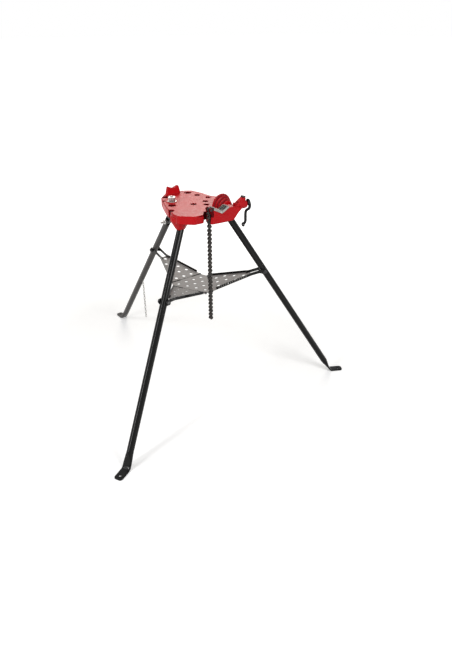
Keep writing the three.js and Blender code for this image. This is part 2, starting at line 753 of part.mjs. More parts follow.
// The hook's notch takes a pin of the chain
function drawHook() {
  const low = SCREW_HEIGHT - HOOK_FLOOR;
  const high = SCREW_HEIGHT + HOOK_TOP;
  const right = HOOK_START + HOOK_LENGTH;
  const shape = outline([
    [HOOK_START, low],
    [right, low],
    [right, high],
    [right - HOOK_LIP, high],
    [right - HOOK_LIP, high - HOOK_NOTCH],
    [HOOK_START + HOOK_LIP, high - HOOK_NOTCH],
    [HOOK_START + HOOK_LIP, high],
    [HOOK_START, high],
  ]);
  const block = solidOf(upright(shape, VISE_MIDDLE - HOOK_WIDTH / 2, VISE_MIDDLE + HOOK_WIDTH / 2));
  const bore = alongScrew(HOOK_START - CUT_MARGIN, right + CUT_MARGIN, bored(SCREW_DIAMETER / 2, ROUND_SIDES));
  return geometryOf(cutBy(block, [bore]));
}

// Chain links: figure-eight blocks, and pairs of plates outside them, by turns
function linkOutline() {
  const arc = (start) => Array.from({ length: LINK_ARC_STEPS + 1 }, (_, i) => {
    const lean = rad(LINK_LEAN);
    const angle = start - lean + (Math.PI + 2 * lean) * i / LINK_ARC_STEPS;
    return [LINK_END_RADIUS * Math.cos(angle), LINK_END_RADIUS * Math.sin(angle)];
  });
  return outline([
    ...arc(0),
    [-LINK_WAIST, -CHAIN_PITCH / 2],
    ...arc(Math.PI).map(([x, z]) => [x, z - CHAIN_PITCH]),
    [LINK_WAIST, -CHAIN_PITCH / 2],
  ]);
}

function linkPlates(order, inner) {
  const face = LINK_INNER_WIDTH / 2;
  const inside = [[-inner, inner]];
  const outside = [[face, CHAIN_HALF], [-CHAIN_HALF, -face]];
  return (order % 2 ? outside : inside).map(([from, to]) => (
    upright(linkOutline(), from, to).translate(CHAIN_X, VISE_MIDDLE, CHAIN_HEIGHT - order * CHAIN_PITCH)));
}

function chainPin(order, half, radius) {
  const z = CHAIN_HEIGHT - order * CHAIN_PITCH;
  return rod([CHAIN_X, VISE_MIDDLE - half, z], [CHAIN_X, VISE_MIDDLE + half, z], radius, PIN_SIDES);
}

// A run starts with a block that turns on the pin above it, and ends with a pair of plates and their pin
function chainRun(first, count) {
  const face = LINK_INNER_WIDTH / 2;
  const solids = linkPlates(first, face - SEAT_GAP);
  for (let order = first + 1; order < first + count; order += 1) {
    solids.push(...linkPlates(order, face));
  }
  for (const order of [first + 1, first + count]) {
    solids.push(chainPin(order, CHAIN_HALF - CHAIN_PIN_INSET, CHAIN_PIN_DIAMETER / 2));
  }
  const topPin = first === 0 ? ANCHOR_PIN_DIAMETER : CHAIN_PIN_DIAMETER;
  return geometryOf(cutBy(joined(solids), [chainPin(first, CHAIN_HALF, bored(topPin / 2, PIN_SIDES))]));
}

// Ceiling-brace screw: a stem in a square nut
const BRACE_NUT_SEAT = BRACE_SEAT + BRACE_WASHER_THICKNESS + 2 * SEAT_GAP;
const BRACE_STEM_TOP = BRACE_NUT_SEAT + BRACE_NUT_HEIGHT - BRACE_STEM_RECESS;

function braceRing(low, high, radius, sides) {
  const ring = solidOf(post(0, 0, low, high, radius, sides).rotateZ(rad(BRACE_NUT_TURN)));
  const bore = post(0, 0, low - CUT_MARGIN, high + CUT_MARGIN, bored(BRACE_STEM_DIAMETER / 2, ROUND_SIDES));
  return geometryOf(cutBy(ring, [bore])).translate(BRACE_X, BRACE_Y, 0);
}

function braceWasher() {
  const low = BRACE_SEAT + SEAT_GAP;
  return braceRing(low, low + BRACE_WASHER_THICKNESS, BRACE_WASHER_DIAMETER / 2, ROUND_SIDES);
}

function braceNut() {
  return braceRing(BRACE_NUT_SEAT, BRACE_NUT_SEAT + BRACE_NUT_HEIGHT, BRACE_NUT_RADIUS, BRACE_NUT_SIDES);
}

function braceStem() {
  return post(BRACE_X, BRACE_Y, BRACE_STEM_TOP - BRACE_STEM_LENGTH, BRACE_STEM_TOP, BRACE_STEM_DIAMETER / 2);
}

// Legs
function footRings(leg, reach) {
  const half = FOOT_THICKNESS / 2;
  const turn = rad(90 - leg.tilt);
  const tangent = FOOT_BEND_RADIUS * Math.tan(turn / 2);
  const bendStart = leg.at(reach - tangent);
  const rings = [section(leg.at(reach - FOOT_TAPER - tangent), leg.outward, TUBE_RADIUS, TUBE_RADIUS)];
  for (const share of [1 / 3, 2 / 3]) {
    const ease = share ** 2 * (3 - 2 * share);
    const place = leg.at(reach - tangent - FOOT_TAPER * (1 - share));
    rings.push(section(place, leg.outward, lerp(TUBE_RADIUS, half, ease),
      lerp(TUBE_RADIUS, FOOT_WIDTH / 2, ease), lerp(2, FOOT_SQUARENESS, ease)));
  }
  for (const share of [0, 1 / 3, 2 / 3, 1]) {
    const angle = rad(leg.tilt) + turn * share;
    const normal = new THREE.Vector2(Math.cos(angle), Math.sin(angle));
    const centre = bendStart.clone().addScaledVector(leg.outward, FOOT_BEND_RADIUS);
    const place = centre.addScaledVector(normal, -FOOT_BEND_RADIUS);
    rings.push(section(place, normal, half, FOOT_WIDTH / 2, FOOT_SQUARENESS));
  }
  const upward = new THREE.Vector2(0, 1);
  const toe = leg.at(reach).add(new THREE.Vector2(FOOT_LENGTH, 0));
  const shoulder = toe.clone().sub(new THREE.Vector2(FOOT_TOE_SHOULDER, 0));
  rings.push(section(shoulder, upward, half, FOOT_WIDTH / 2, FOOT_SQUARENESS));
  rings.push(section(toe, upward, half, FOOT_TOE_HALF, FOOT_SQUARENESS));
  return rings;
}

const TIE_HOLE_RADIUS = TIE_WIRE / 2 + SEAT_GAP;

function legTube(leg) {
  const ground = FOOT_THICKNESS / 2 - FOOT_GROUND_CUT;
  const reach = (leg.hinge.y - ground) / Math.cos(rad(leg.tilt));
  const bore = TUBE_RADIUS - TUBE_WALL;
  const tube = solidOf(loft([
    section(leg.at(reach - FOOT_TAPER * 2), leg.outward, bore, bore),
    section(leg.at(-LEG_OVERHANG), leg.outward, bore, bore),
    section(leg.at(-LEG_OVERHANG), leg.outward, TUBE_RADIUS, TUBE_RADIUS),
    ...footRings(leg, reach),
  ]));
  const toe = leg.at(reach).x + FOOT_LENGTH;
  const cuts = [
    box([0, -FOOT_WIDTH, -FOOT_THICKNESS], [toe + FOOT_WIDTH, FOOT_WIDTH, 0]),
    post(toe - FOOT_WIDTH / 2, 0, -FOOT_THICKNESS, FOOT_THICKNESS * 2, FOOT_HOLE_DIAMETER / 2, SMALL_SIDES),
    crossBar(leg.hinge, -FOOT_WIDTH, FOOT_WIDTH, bored(LEG_PIN_DIAMETER / 2)),
    crossBar(leg.pivot, -FOOT_WIDTH, FOOT_WIDTH, bored(TRAY_BOLT_DIAMETER / 2)),
  ];
  if (leg.name === 'rear') {
    cuts.push(tangSlot(leg), tieStub(leg, TIE_HOLE_RADIUS));
  }
  return geometryOf(cutBy(tube, cuts));
}

// Rear leg bracket and the slot that takes it
function alongLeg(leg, start, end, halfWidth, halfThickness) {
  const corners = [[start, -1], [end, -1], [end, 1], [start, 1]].map(([t, side]) => (
    leg.at(t).addScaledVector(leg.outward, side * halfWidth).toArray()));
  return upright(outline(corners), -halfThickness, halfThickness);
}

function tangSlot(leg) {
  const half = TANG_THICKNESS / 2 + SEAT_GAP;
  return alongLeg(leg, -LEG_OVERHANG - CUT_MARGIN, TANG_SLOT_DEPTH, TUBE_DIAMETER, half);
}

function bracketTop(leg) {
  const place = leg.level(BASE_UNDERSIDE - SEAT_GAP - TANG_FOOT_THICKNESS / 2);
  return { place, strapEnd: (place.y - leg.hinge.y) / leg.down.y };
}

function bracketFoot(leg, gap) {
  const { place } = bracketTop(leg);
  const halfLength = TANG_FOOT_LENGTH / 2 + gap;
  const halfWidth = TANG_FOOT_WIDTH / 2 + gap;
  const seat = BASE_UNDERSIDE - SEAT_GAP;
  return box(
    [place.x - halfLength, -halfWidth, seat - TANG_FOOT_THICKNESS - gap],
    [place.x + halfLength, halfWidth, seat + gap],
  );
}

// Room for the bracket, wherever it meets the skirt
function bracketRelief(leg) {
  const start = bracketTop(leg).strapEnd + TANG_WIDTH / 2;
  const strap = alongLeg(leg, start, 0, TANG_WIDTH / 2 + SEAT_GAP, TANG_THICKNESS / 2 + SEAT_GAP);
  return geometryOf(joined([strap, bracketFoot(leg, SEAT_GAP)]));
}

function rearBracket(leg) {
  const { strapEnd } = bracketTop(leg);
  const half = TANG_THICKNESS / 2;
  const above = box(
    [0, -TANG_FOOT_WIDTH, BASE_UNDERSIDE - SEAT_GAP],
    [leg.hinge.x, TANG_FOOT_WIDTH, BASE_TOP + TANG_FOOT_LENGTH],
  );
  const body = joined([
    alongLeg(leg, strapEnd, 0, TANG_WIDTH / 2, half),
    crossBar(leg.hinge, -half, half, TANG_WIDTH / 2, ROUND_SIDES),
    bracketFoot(leg, 0),
  ]);
  const bore = crossBar(leg.hinge, -half * 2, half * 2, bored(LEG_PIN_DIAMETER / 2));
  return geometryOf(cutBy(body, [above, bore]));
}

function rearCollar(leg) {
  const end = PIVOT_HALF + REAR_COLLAR_THICKNESS;
  const ring = solidOf(crossBar(leg.hinge, PIVOT_HALF, end, REAR_COLLAR_DIAMETER / 2, ROUND_SIDES));
  return geometryOf(cutBy(ring, [crossBar(leg.hinge, 0, REAR_PIN_LONG, bored(LEG_PIN_DIAMETER / 2))]));
}

// Leg-tie chain: an eye in the leg's inner side, then oval wire links turned by quarters
function tieEyeCentre(leg) {
  return leg.level(TIE_HEIGHT).addScaledVector(leg.outward, -TUBE_RADIUS - TIE_EYE_STAND_OFF);
}

function tieStub(leg, radius) {
  const inner = tieEyeCentre(leg).addScaledVector(leg.outward, TIE_EYE_RADIUS);
  const outer = leg.level(TIE_HEIGHT).addScaledVector(leg.outward, TUBE_WALL - TUBE_RADIUS);
  return rod([inner.x, 0, inner.y], [outer.x, 0, outer.y], radius, SMALL_SIDES);
}

function tieEye(leg) {
  const centre = tieEyeCentre(leg);
  const ring = new THREE.TorusGeometry(TIE_EYE_RADIUS, TIE_WIRE / 2, HEX_SIDES, SMALL_SIDES)
    .rotateX(Math.PI / 2)
    .translate(centre.x, 0, centre.y);
  return geometryOf(joined([ring, tieStub(leg, TIE_WIRE / 2)]));
}

function tieLink(order) {
  const half = (TIE_LINK_WIDTH - TIE_WIRE) / 2;
  const straight = TIE_PITCH + TIE_WIRE / 2 - 2 * half;
  const bend = [0, 1, 2, 3].map((i) => {
    const angle = Math.PI * i / 3;
    return new THREE.Vector3(half * Math.cos(angle), 0, straight / 2 + half * Math.sin(angle));
  });
  const path = [...bend, ...bend.map((point) => new THREE.Vector3(-point.x, 0, -point.z))];
  const across = new THREE.Vector3(0, 1, 0);
  const rings = path.map((point, i) => {
    const along = path[(i + 1) % path.length].clone().sub(path.at(i - 1)).normalize();
    const out = new THREE.Vector3().crossVectors(along, across);
    return Array.from({ length: WIRE_SIDES }, (_, k) => {
      const angle = 2 * Math.PI * k / WIRE_SIDES;
      const wire = point.clone().addScaledVector(out, Math.cos(angle) * TIE_WIRE / 2);
      return wire.addScaledVector(across, Math.sin(angle) * TIE_WIRE / 2);
    });
  });
  const link = facingOut(rings.flat(), skin(rings, true));
  return link.rotateZ((order + 1) * Math.PI / 2).translate(0, 0, -order * TIE_PITCH);
}

function tieChain(leg) {
  const centre = tieEyeCentre(leg);
  const links = Array.from({ length: TIE_LINKS }, (_, order) => tieLink(order));
  const top = TIE_PITCH / 2 + TIE_WIRE / 4;
  const hang = centre.y - TIE_EYE_RADIUS + TIE_WIRE + TIE_PLAY - top;
  return geometryOf(joined(links)).translate(centre.x, 0, hang);
}

// Tray leaves: s runs outward from the fold line, v across, n out of the sheet
const SHEET_HALF = SHEET / 2;
const ARM_OUTER = PIVOT_HALF + TRAY_ARM_SHEET;

function leafPlan(leg) {
  const across = leg.pivot.x - leg.foldRadius;
  const rise = TRAY_PIVOT_HEIGHT - TRAY_HEIGHT;
  const length = Math.hypot(across, rise);
  const spans = {
    left: [-FRONT_FOLD_FAR, FRONT_FOLD_NEAR],
    right: [-FRONT_FOLD_NEAR, FRONT_FOLD_FAR],
    rear: [-REAR_FOLD_HALF, REAR_FOLD_HALF],
  };
  const [low, high] = spans[leg.name];
  const angle = Math.atan2(rise, across);
  return { length, angle, low, high, end: length - leg.trayArm, slotted: leg.name === 'right' };
}

function rowPlaces(low, high, pitch) {
  const count = Math.max(Math.floor((high - low) / pitch), 0);
  const start = (low + high - count * pitch) / 2;
  return Array.from({ length: count + 1 }, (_, i) => start + i * pitch);
}

// Round holes in rows, as many as leave enough sheet at the edges
function perforations(rows, edgesAt) {
  return rows.flatMap((row) => {
    const [low, high] = edgesAt(row);
    const room = high - low - 2 * TRAY_HOLE_EDGE;
    const places = room > 0 ? rowPlaces(low + TRAY_HOLE_EDGE, high - TRAY_HOLE_EDGE, TRAY_HOLE_PITCH) : [];
    return places.map((place) => [row, place]);
  });
}

function withHoles(shape, places) {
  for (const [x, y] of places) {
    const centre = new THREE.Vector2(x, y);
    const rim = Array.from({ length: SMALL_SIDES }, (_, i) => {
      const start = new THREE.Vector2(x + TRAY_HOLE_DIAMETER / 2, y);
      return start.rotateAround(centre, 2 * Math.PI * i / SMALL_SIDES);
    });
    shape.holes.push(new THREE.Path(rim));
  }
  return shape;
}

// A flange that stands on the sheet along one edge; side tells where the sheet lies
function flange(from, to, side) {
  const along = new THREE.Vector2(to[0] - from[0], to[1] - from[1]).normalize();
  const inward = new THREE.Vector2(-along.y, along.x).multiplyScalar(side * SHEET);
  const shape = outline([
    from,
    to,
    [to[0] + inward.x, to[1] + inward.y],
    [from[0] + inward.x, from[1] + inward.y],
  ]);
  return slab(shape, -SHEET_HALF, FLANGE_RISE);
}

// Slanted slots in a row through a flange
function flangeSlots(from, to) {
  const along = new THREE.Vector2(to[0] - from[0], to[1] - from[1]);
  const room = along.length() - FLANGE_SLOT_PITCH;
  return rowPlaces(FLANGE_SLOT_PITCH, room, FLANGE_SLOT_PITCH).map((place) => (
    new THREE.BoxGeometry(FLANGE_SLOT_WIDTH, 4 * SHEET, FLANGE_SLOT_HEIGHT)
      .rotateY(rad(FLANGE_SLOT_LEAN))
      .translate(place, 0, (FLANGE_RISE + SHEET_HALF) / 2)
      .rotateZ(along.angle())
      .translate(from[0], from[1], 0)));
}

// Clevis arm beside the leg, with a round ear at the pivot
function leafArm(plan, side) {
  const start = plan.end - FLANGE_SETBACK;
  const neck = plan.length - 2 * TRAY_EAR_RADIUS;
  const reach = plan.length + TRAY_EAR_RADIUS;
  const shape = outline([
    [start, -SHEET_HALF],
    [neck, -SHEET_HALF, TRAY_ARM_ROUND],
    [plan.length - TRAY_EAR_RADIUS / 2, -TRAY_EAR_RADIUS, TRAY_ARM_ROUND / 2],
    [reach, -TRAY_EAR_RADIUS, TRAY_EAR_RADIUS],
    [reach, TRAY_EAR_RADIUS, TRAY_EAR_RADIUS],
    [plan.length - TRAY_EAR_RADIUS, TRAY_EAR_RADIUS],
    [start, FLANGE_RISE],
  ]);
  return upright(shape, side * PIVOT_HALF, side * ARM_OUTER);
}

function foldBar(from, to, radius) {
  return rod([0, from, 0], [0, to, 0], radius, SMALL_SIDES);
}

// Knuckles stand in pairs near both ends of a fold, the panel's outside the leaf's
function panelKnuckles(plan) {
  return [
    [plan.low + KNUCKLE_SETBACK - KNUCKLE_LENGTH, plan.low + KNUCKLE_SETBACK],
    [plan.high - KNUCKLE_SETBACK, plan.high - KNUCKLE_SETBACK + KNUCKLE_LENGTH],
  ];
}

function leafKnuckles(plan) {
  const inner = KNUCKLE_SETBACK + SEAT_GAP;
  return [
    [plan.low + inner, plan.low + inner + KNUCKLE_LENGTH],
    [plan.high - inner - KNUCKLE_LENGTH, plan.high - inner],
  ];
}

function clearOf(knuckles) {
  return knuckles.map(([from, to]) => foldBar(from - SEAT_GAP, to + SEAT_GAP, bored(KNUCKLE_RADIUS)));
}

function pinBore(plan) {
  return foldBar(plan.low - CUT_MARGIN, plan.high + CUT_MARGIN, bored(FOLD_PIN_DIAMETER / 2));
}

function trayLeaf(plan) {
  const start = FOLD_GAP;
  const edgesAt = (s) => {
    const share = (s - start) / (plan.end - start);
    return [lerp(plan.low, -ARM_OUTER, share), lerp(plan.high, ARM_OUTER, share)];
  };
  const rows = rowPlaces(start + TRAY_HOLE_EDGE, plan.end - TRAY_HOLE_EDGE, TRAY_HOLE_PITCH);
  const sheet = withHoles(outline([
    [start, plan.low],
    [plan.end, -ARM_OUTER],
    [plan.end, ARM_OUTER],
    [start, plan.high],
  ]), perforations(rows, edgesAt));
  const flangeStart = start + FLANGE_SETBACK;
  const [lowStart, highStart] = edgesAt(flangeStart).map((v) => [flangeStart, v]);
  const lowEnd = [plan.end, -ARM_OUTER];
  const lowFlange = flange(lowStart, lowEnd, 1);
  const slots = plan.slotted ? flangeSlots(lowStart, lowEnd) : [];
  const flat = joined([
    geometryOf(cutBy(solidOf(lowFlange), slots)),
    slab(sheet, -SHEET_HALF, SHEET_HALF),
    flange(highStart, [plan.end, ARM_OUTER], -1),
    leafArm(plan, -1),
    leafArm(plan, 1),
  ]);
  const notched = geometryOf(cutBy(flat, clearOf(panelKnuckles(plan))));
  const whole = joined([notched, ...leafKnuckles(plan).map(([from, to]) => foldBar(from, to, KNUCKLE_RADIUS))]);
  const pivot = new THREE.Vector2(plan.length, 0);
  const bolt = crossBar(pivot, -ARM_OUTER * 2, ARM_OUTER * 2, bored(TRAY_BOLT_DIAMETER / 2));
  return geometryOf(cutBy(whole, [pinBore(plan), bolt]));
}

// Centre panel: three fold edges with short cut corners between them
function foldCorners(leg) {
  const plan = leafPlan(leg);
  return [plan.low, plan.high].map((v) => {
    const corner = new THREE.Vector2(leg.foldRadius - FOLD_GAP, v);
    return corner.rotateAround(new THREE.Vector2(), rad(leg.azimuth)).toArray();
  });
}

function trayPanel() {
  const corners = [rightLeg, rearLeg, leftLeg].flatMap(foldCorners);
  const rowEdges = (y) => {
    const crossings = corners.flatMap(([x0, y0], i) => {
      const [x1, y1] = corners[(i + 1) % corners.length];
      return (y0 - y) * (y1 - y) < 0 ? [x0 + (x1 - x0) * (y - y0) / (y1 - y0)] : [];
    });
    return [Math.min(...crossings), Math.max(...crossings)];
  };
  const lowest = Math.min(...corners.map(([, y]) => y));
  const highest = Math.max(...corners.map(([, y]) => y));
  const rows = rowPlaces(lowest + TRAY_HOLE_EDGE, highest - TRAY_HOLE_EDGE, TRAY_HOLE_PITCH);
  const places = perforations(rows, rowEdges).map(([y, x]) => [x, y]);
  const sheet = slab(withHoles(outline(corners), places), -SHEET_HALF, SHEET_HALF);
  const onFold = (leg, geometry) => turned(geometry.translate(leg.foldRadius, 0, 0), leg);
  const gaps = legs.flatMap((leg) => clearOf(leafKnuckles(leafPlan(leg))).map((bar) => onFold(leg, bar)));
  const knuckles = legs.flatMap((leg) => (
    panelKnuckles(leafPlan(leg)).map(([from, to]) => onFold(leg, foldBar(from, to, KNUCKLE_RADIUS)))));
  const whole = joined([geometryOf(cutBy(solidOf(sheet), gaps)), ...knuckles]);
  const bores = legs.map((leg) => onFold(leg, pinBore(leafPlan(leg))));
  return geometryOf(cutBy(whole, bores)).translate(0, 0, TRAY_HEIGHT);
}

function foldPin(plan) {
  const [first, second] = panelKnuckles(plan);
  return foldBar(first[0], second[1], FOLD_PIN_DIAMETER / 2);
}

// The assembly
const stand = new THREE.Group();
stand.add(
  piece('base_casting', baseCasting(), redPaint()),
  piece('jaw_left', jaw(-1), zincSteel()),
  piece('jaw_right', jaw(1), zincSteel()),
  piece('arm_cap', armCap(), darkSteel()),
  piece('clamp_screw', clampScrew(), darkSteel()),
  piece('crank_handle', crankHandle(), blackPaint()),
  piece('crank_nut', crankNut(), darkSteel()),
  piece('draw_hook', drawHook(), zincSteel()),
  piece('chain_anchor_pin', chainPin(0, EAR_INNER + ANCHOR_EAR, ANCHOR_PIN_DIAMETER / 2), zincSteel()),
  piece('chain_top', chainRun(0, CHAIN_TOP_LINKS), darkSteel()),
  piece('chain_middle', chainRun(CHAIN_TOP_LINKS, CHAIN_MIDDLE_LINKS), darkSteel()),
  piece('chain_bottom', chainRun(CHAIN_TOP_LINKS + CHAIN_MIDDLE_LINKS, CHAIN_BOTTOM_LINKS), darkSteel()),
  piece('brace_washer', braceWasher(), zincSteel()),
  piece('brace_nut', braceNut(), zincSteel()),
  piece('brace_stem', braceStem(), darkSteel()),
  piece('tray_panel', trayPanel(), greySheet()),
  piece('rear_leg_bracket', turned(rearBracket(rearLeg), rearLeg), blackPaint()),
  piece('rear_pin_collar', turned(rearCollar(rearLeg), rearLeg), zincSteel()),
  piece('tie_eye', turned(tieEye(rearLeg), rearLeg), zincSteel()),
  piece('tie_chain', turned(tieChain(rearLeg), rearLeg), zincSteel()),
  piece('leg_pin_rear', turned(
    crossBar(rearLeg.hinge, -REAR_PIN_SHORT, REAR_PIN_LONG, LEG_PIN_DIAMETER / 2), rearLeg), zincSteel()),
);

for (const leg of frontLegs) {
  stand.add(piece(`leg_pin_${leg.name}`, turned(frontPin(leg), leg), zincSteel()));
}

for (const leg of legs) {
  const boltHalf = PIVOT_HALF - SEAT_GAP;
  stand.add(piece(`leg_${leg.name}`, turned(legTube(leg), leg), blackPaint()));
  stand.add(piece(`tray_bolt_${leg.name}`,
    turned(crossBar(leg.pivot, -boltHalf, boltHalf, TRAY_BOLT_DIAMETER / 2), leg), zincSteel()));
  const plan = leafPlan(leg);
  const plane = new THREE.Group();
  plane.rotation.z = rad(leg.azimuth);
  const fold = new THREE.Group();
  fold.position.set(leg.foldRadius, 0, TRAY_HEIGHT);
  fold.rotation.y = -plan.angle;
  fold.add(piece(`tray_leaf_${leg.name}`, trayLeaf(plan), greySheet()));
  fold.add(piece(`fold_pin_${leg.name}`, foldPin(plan), darkSteel()));
  plane.add(fold);
  stand.add(plane);
}

// The origin lies on the floor under the middle of the feet
const extent = new THREE.Box3().setFromObject(stand);
const middle = extent.getCenter(new THREE.Vector3());
stand.position.set(-middle.x, -middle.y, -extent.min.z);

const part = new THREE.Group();
part.add(stand);

export default part;
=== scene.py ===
"""Looks of the folding tripod stand with a chain pipe vise: finishes, smooth forms, stage and camera."""
import math

import bmesh
import bpy
from mathutils import Matrix, Vector

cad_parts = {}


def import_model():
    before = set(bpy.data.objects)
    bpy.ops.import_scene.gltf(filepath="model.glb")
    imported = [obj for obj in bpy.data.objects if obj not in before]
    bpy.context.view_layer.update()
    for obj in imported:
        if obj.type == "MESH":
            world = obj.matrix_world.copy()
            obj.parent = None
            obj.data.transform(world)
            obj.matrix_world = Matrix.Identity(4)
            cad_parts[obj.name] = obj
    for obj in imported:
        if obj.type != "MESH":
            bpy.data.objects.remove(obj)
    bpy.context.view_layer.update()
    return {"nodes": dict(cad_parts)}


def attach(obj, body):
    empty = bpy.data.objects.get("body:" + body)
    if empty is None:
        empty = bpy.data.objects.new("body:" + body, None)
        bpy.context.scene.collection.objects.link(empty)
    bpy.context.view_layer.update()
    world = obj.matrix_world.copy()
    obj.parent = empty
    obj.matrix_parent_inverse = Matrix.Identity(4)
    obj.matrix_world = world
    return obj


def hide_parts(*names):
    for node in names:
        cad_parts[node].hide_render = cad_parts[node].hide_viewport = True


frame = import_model()
nodes = frame["nodes"]
scene = bpy.context.scene

# Camera at the photograph's place; the lens is for 36 mm on the frame's height
CAMERA_PLACE = Vector((-1.11953, -1.91751, 1.44633))
CAMERA_LOOK = Vector((0.51868, 0.68503, -0.51157))
CAMERA_LENS = 28.173
SENSOR = 36.0

# The part's own measures, in millimetres
MM = 0.001
AXIS = Vector((0.0, -246.2214, 0.0))
UP = Vector((0.0, 0.0, 1.0))
TUBE_RADIUS = 13.9
TUBE_WALL = 2.9
LEG_OVERHANG = 14.0
FOOT_LENGTH = 57.7
FOOT_HALF = 18.0
FOOT_THICKNESS = 7.0
FOOT_BEND = 17.0
FOOT_TAPER = 62.0
FOOT_GROUND_CUT = 0.4
FOOT_HOLE_RADIUS = 5.5
TANG_SLOT = 16.0
TANG_HALF = 8.3
PIVOT_HEIGHT = 546.5
PIVOT_HALF = 14.1
TRAY_HEIGHT = 493.0
ARM_OUTER = 17.7
SHEET = 2.5
FOLD_GAP = 1.6
FLANGE_RISE = 10.5
FLANGE_SETBACK = 18.0
EAR_RADIUS = 12.0
HOLE_RADIUS = 7.0
HOLE_PITCH = 38.0
HOLE_EDGE = 15.0
KNUCKLE_RADIUS = 3.6
KNUCKLE_LENGTH = 20.0
KNUCKLE_SETBACK = 24.0
PLATE_TOP = 845.0
TOOL_HOLES = [(57, 143.6, 28), (69, 92.6, 23), (86, 40, 22), (46, 2, 22), (24, -36, 22),
              (-13, -2, 24), (-48, 143, 32), (-84, 100, 14), (-89, 32, 28), (-129, -19, 30)]
BENDER_X = 65.0
BENDER_START = -114.0
BENDER_END = -78.0
BENDER_RADIUS = 26.0
BENDER_SLOPE = 0.528
GROOVE_PITCH = 12.0
VISE_MIDDLE = -152.4
CHAIN_PLACE = AXIS + Vector((-46.0, VISE_MIDDLE, 867.0))
CHAIN_PITCH = 15.875
SCREW_PLACE = AXIS + Vector((0.0, VISE_MIDDLE, 858.0))
CRANK_X = 131.0
BRACE_PLACE = AXIS + Vector((-65.0, 70.6, 847.0))
TIE_HEIGHT = 335.0
TIE_PITCH = 13.0
TIE_WIRE = 1.2
TIE_LINKS = 15
EYE_RADIUS = 5.0
EYE_STANDOFF = 21.35


class Leg:
    """A leg's plane: u outward from the stand's axis, v across it, z up."""

    def __init__(self, name, azimuth, tilt, hinge, fold, span, arm):
        self.name = name
        self.tilt = math.radians(tilt)
        self.hinge = Vector(hinge)
        self.fold = fold
        self.low, self.high = span
        turn = math.radians(azimuth)
        self.out = Vector((math.cos(turn), math.sin(turn), 0.0))
        self.across = Vector((-math.sin(turn), math.cos(turn), 0.0))
        self.down = Vector((math.sin(self.tilt), -math.cos(self.tilt)))
        self.normal = Vector((math.cos(self.tilt), math.sin(self.tilt)))
        self.pivot = self.level(PIVOT_HEIGHT)
        reach = Vector((self.pivot[0] - fold, PIVOT_HEIGHT - TRAY_HEIGHT))
        self.length = reach.length
        self.lift = math.atan2(reach[1], reach[0])
        self.end = self.length - arm

    def at(self, t):
        return self.hinge + self.down * t

    def level(self, z):
        return self.at((z - self.hinge[1]) / self.down[1])

    def world(self, place, v=0.0):
        return AXIS + self.out * place[0] + self.across * v + UP * place[1]

    def plane(self, place=(0.0, 0.0)):
        """Local x outward, y across, z up, from a place in the leg's plane."""
        return frame_of(self.out, self.across, UP, self.world(place))

    def leaf(self):
        """Local x outward from the fold in the sheet, y across, z out of the sheet."""
        along = self.out * math.cos(self.lift) + UP * math.sin(self.lift)
        return frame_of(along, self.across, along.cross(self.across), self.world((self.fold, TRAY_HEIGHT)))

    def panel_knuckles(self):
        start, end = self.low + KNUCKLE_SETBACK, self.high - KNUCKLE_SETBACK
        return [(start - KNUCKLE_LENGTH, start), (end, end + KNUCKLE_LENGTH)]

    def leaf_knuckles(self):
        inner = KNUCKLE_SETBACK + 0.3
        return [(self.low + inner, self.low + inner + KNUCKLE_LENGTH),
                (self.high - inner - KNUCKLE_LENGTH, self.high - inner)]


def frame_of(x, y, z, place):
    made = Matrix((x, y, z)).transposed().to_4x4()
    made.translation = place
    return made


LEFT = Leg("left", 208.43, 32.5, (115.2, 806.0), 50.3, (-92.0, 62.0), 58.0)
RIGHT = Leg("right", -28.43, 32.5, (115.2, 806.0), 50.3, (-62.0, 92.0), 58.0)
REAR = Leg("rear", 90.0, 37.8, (220.5, 715.0), 93.6, (-75.0, 75.0), 74.0)
LEGS = (LEFT, RIGHT, REAR)


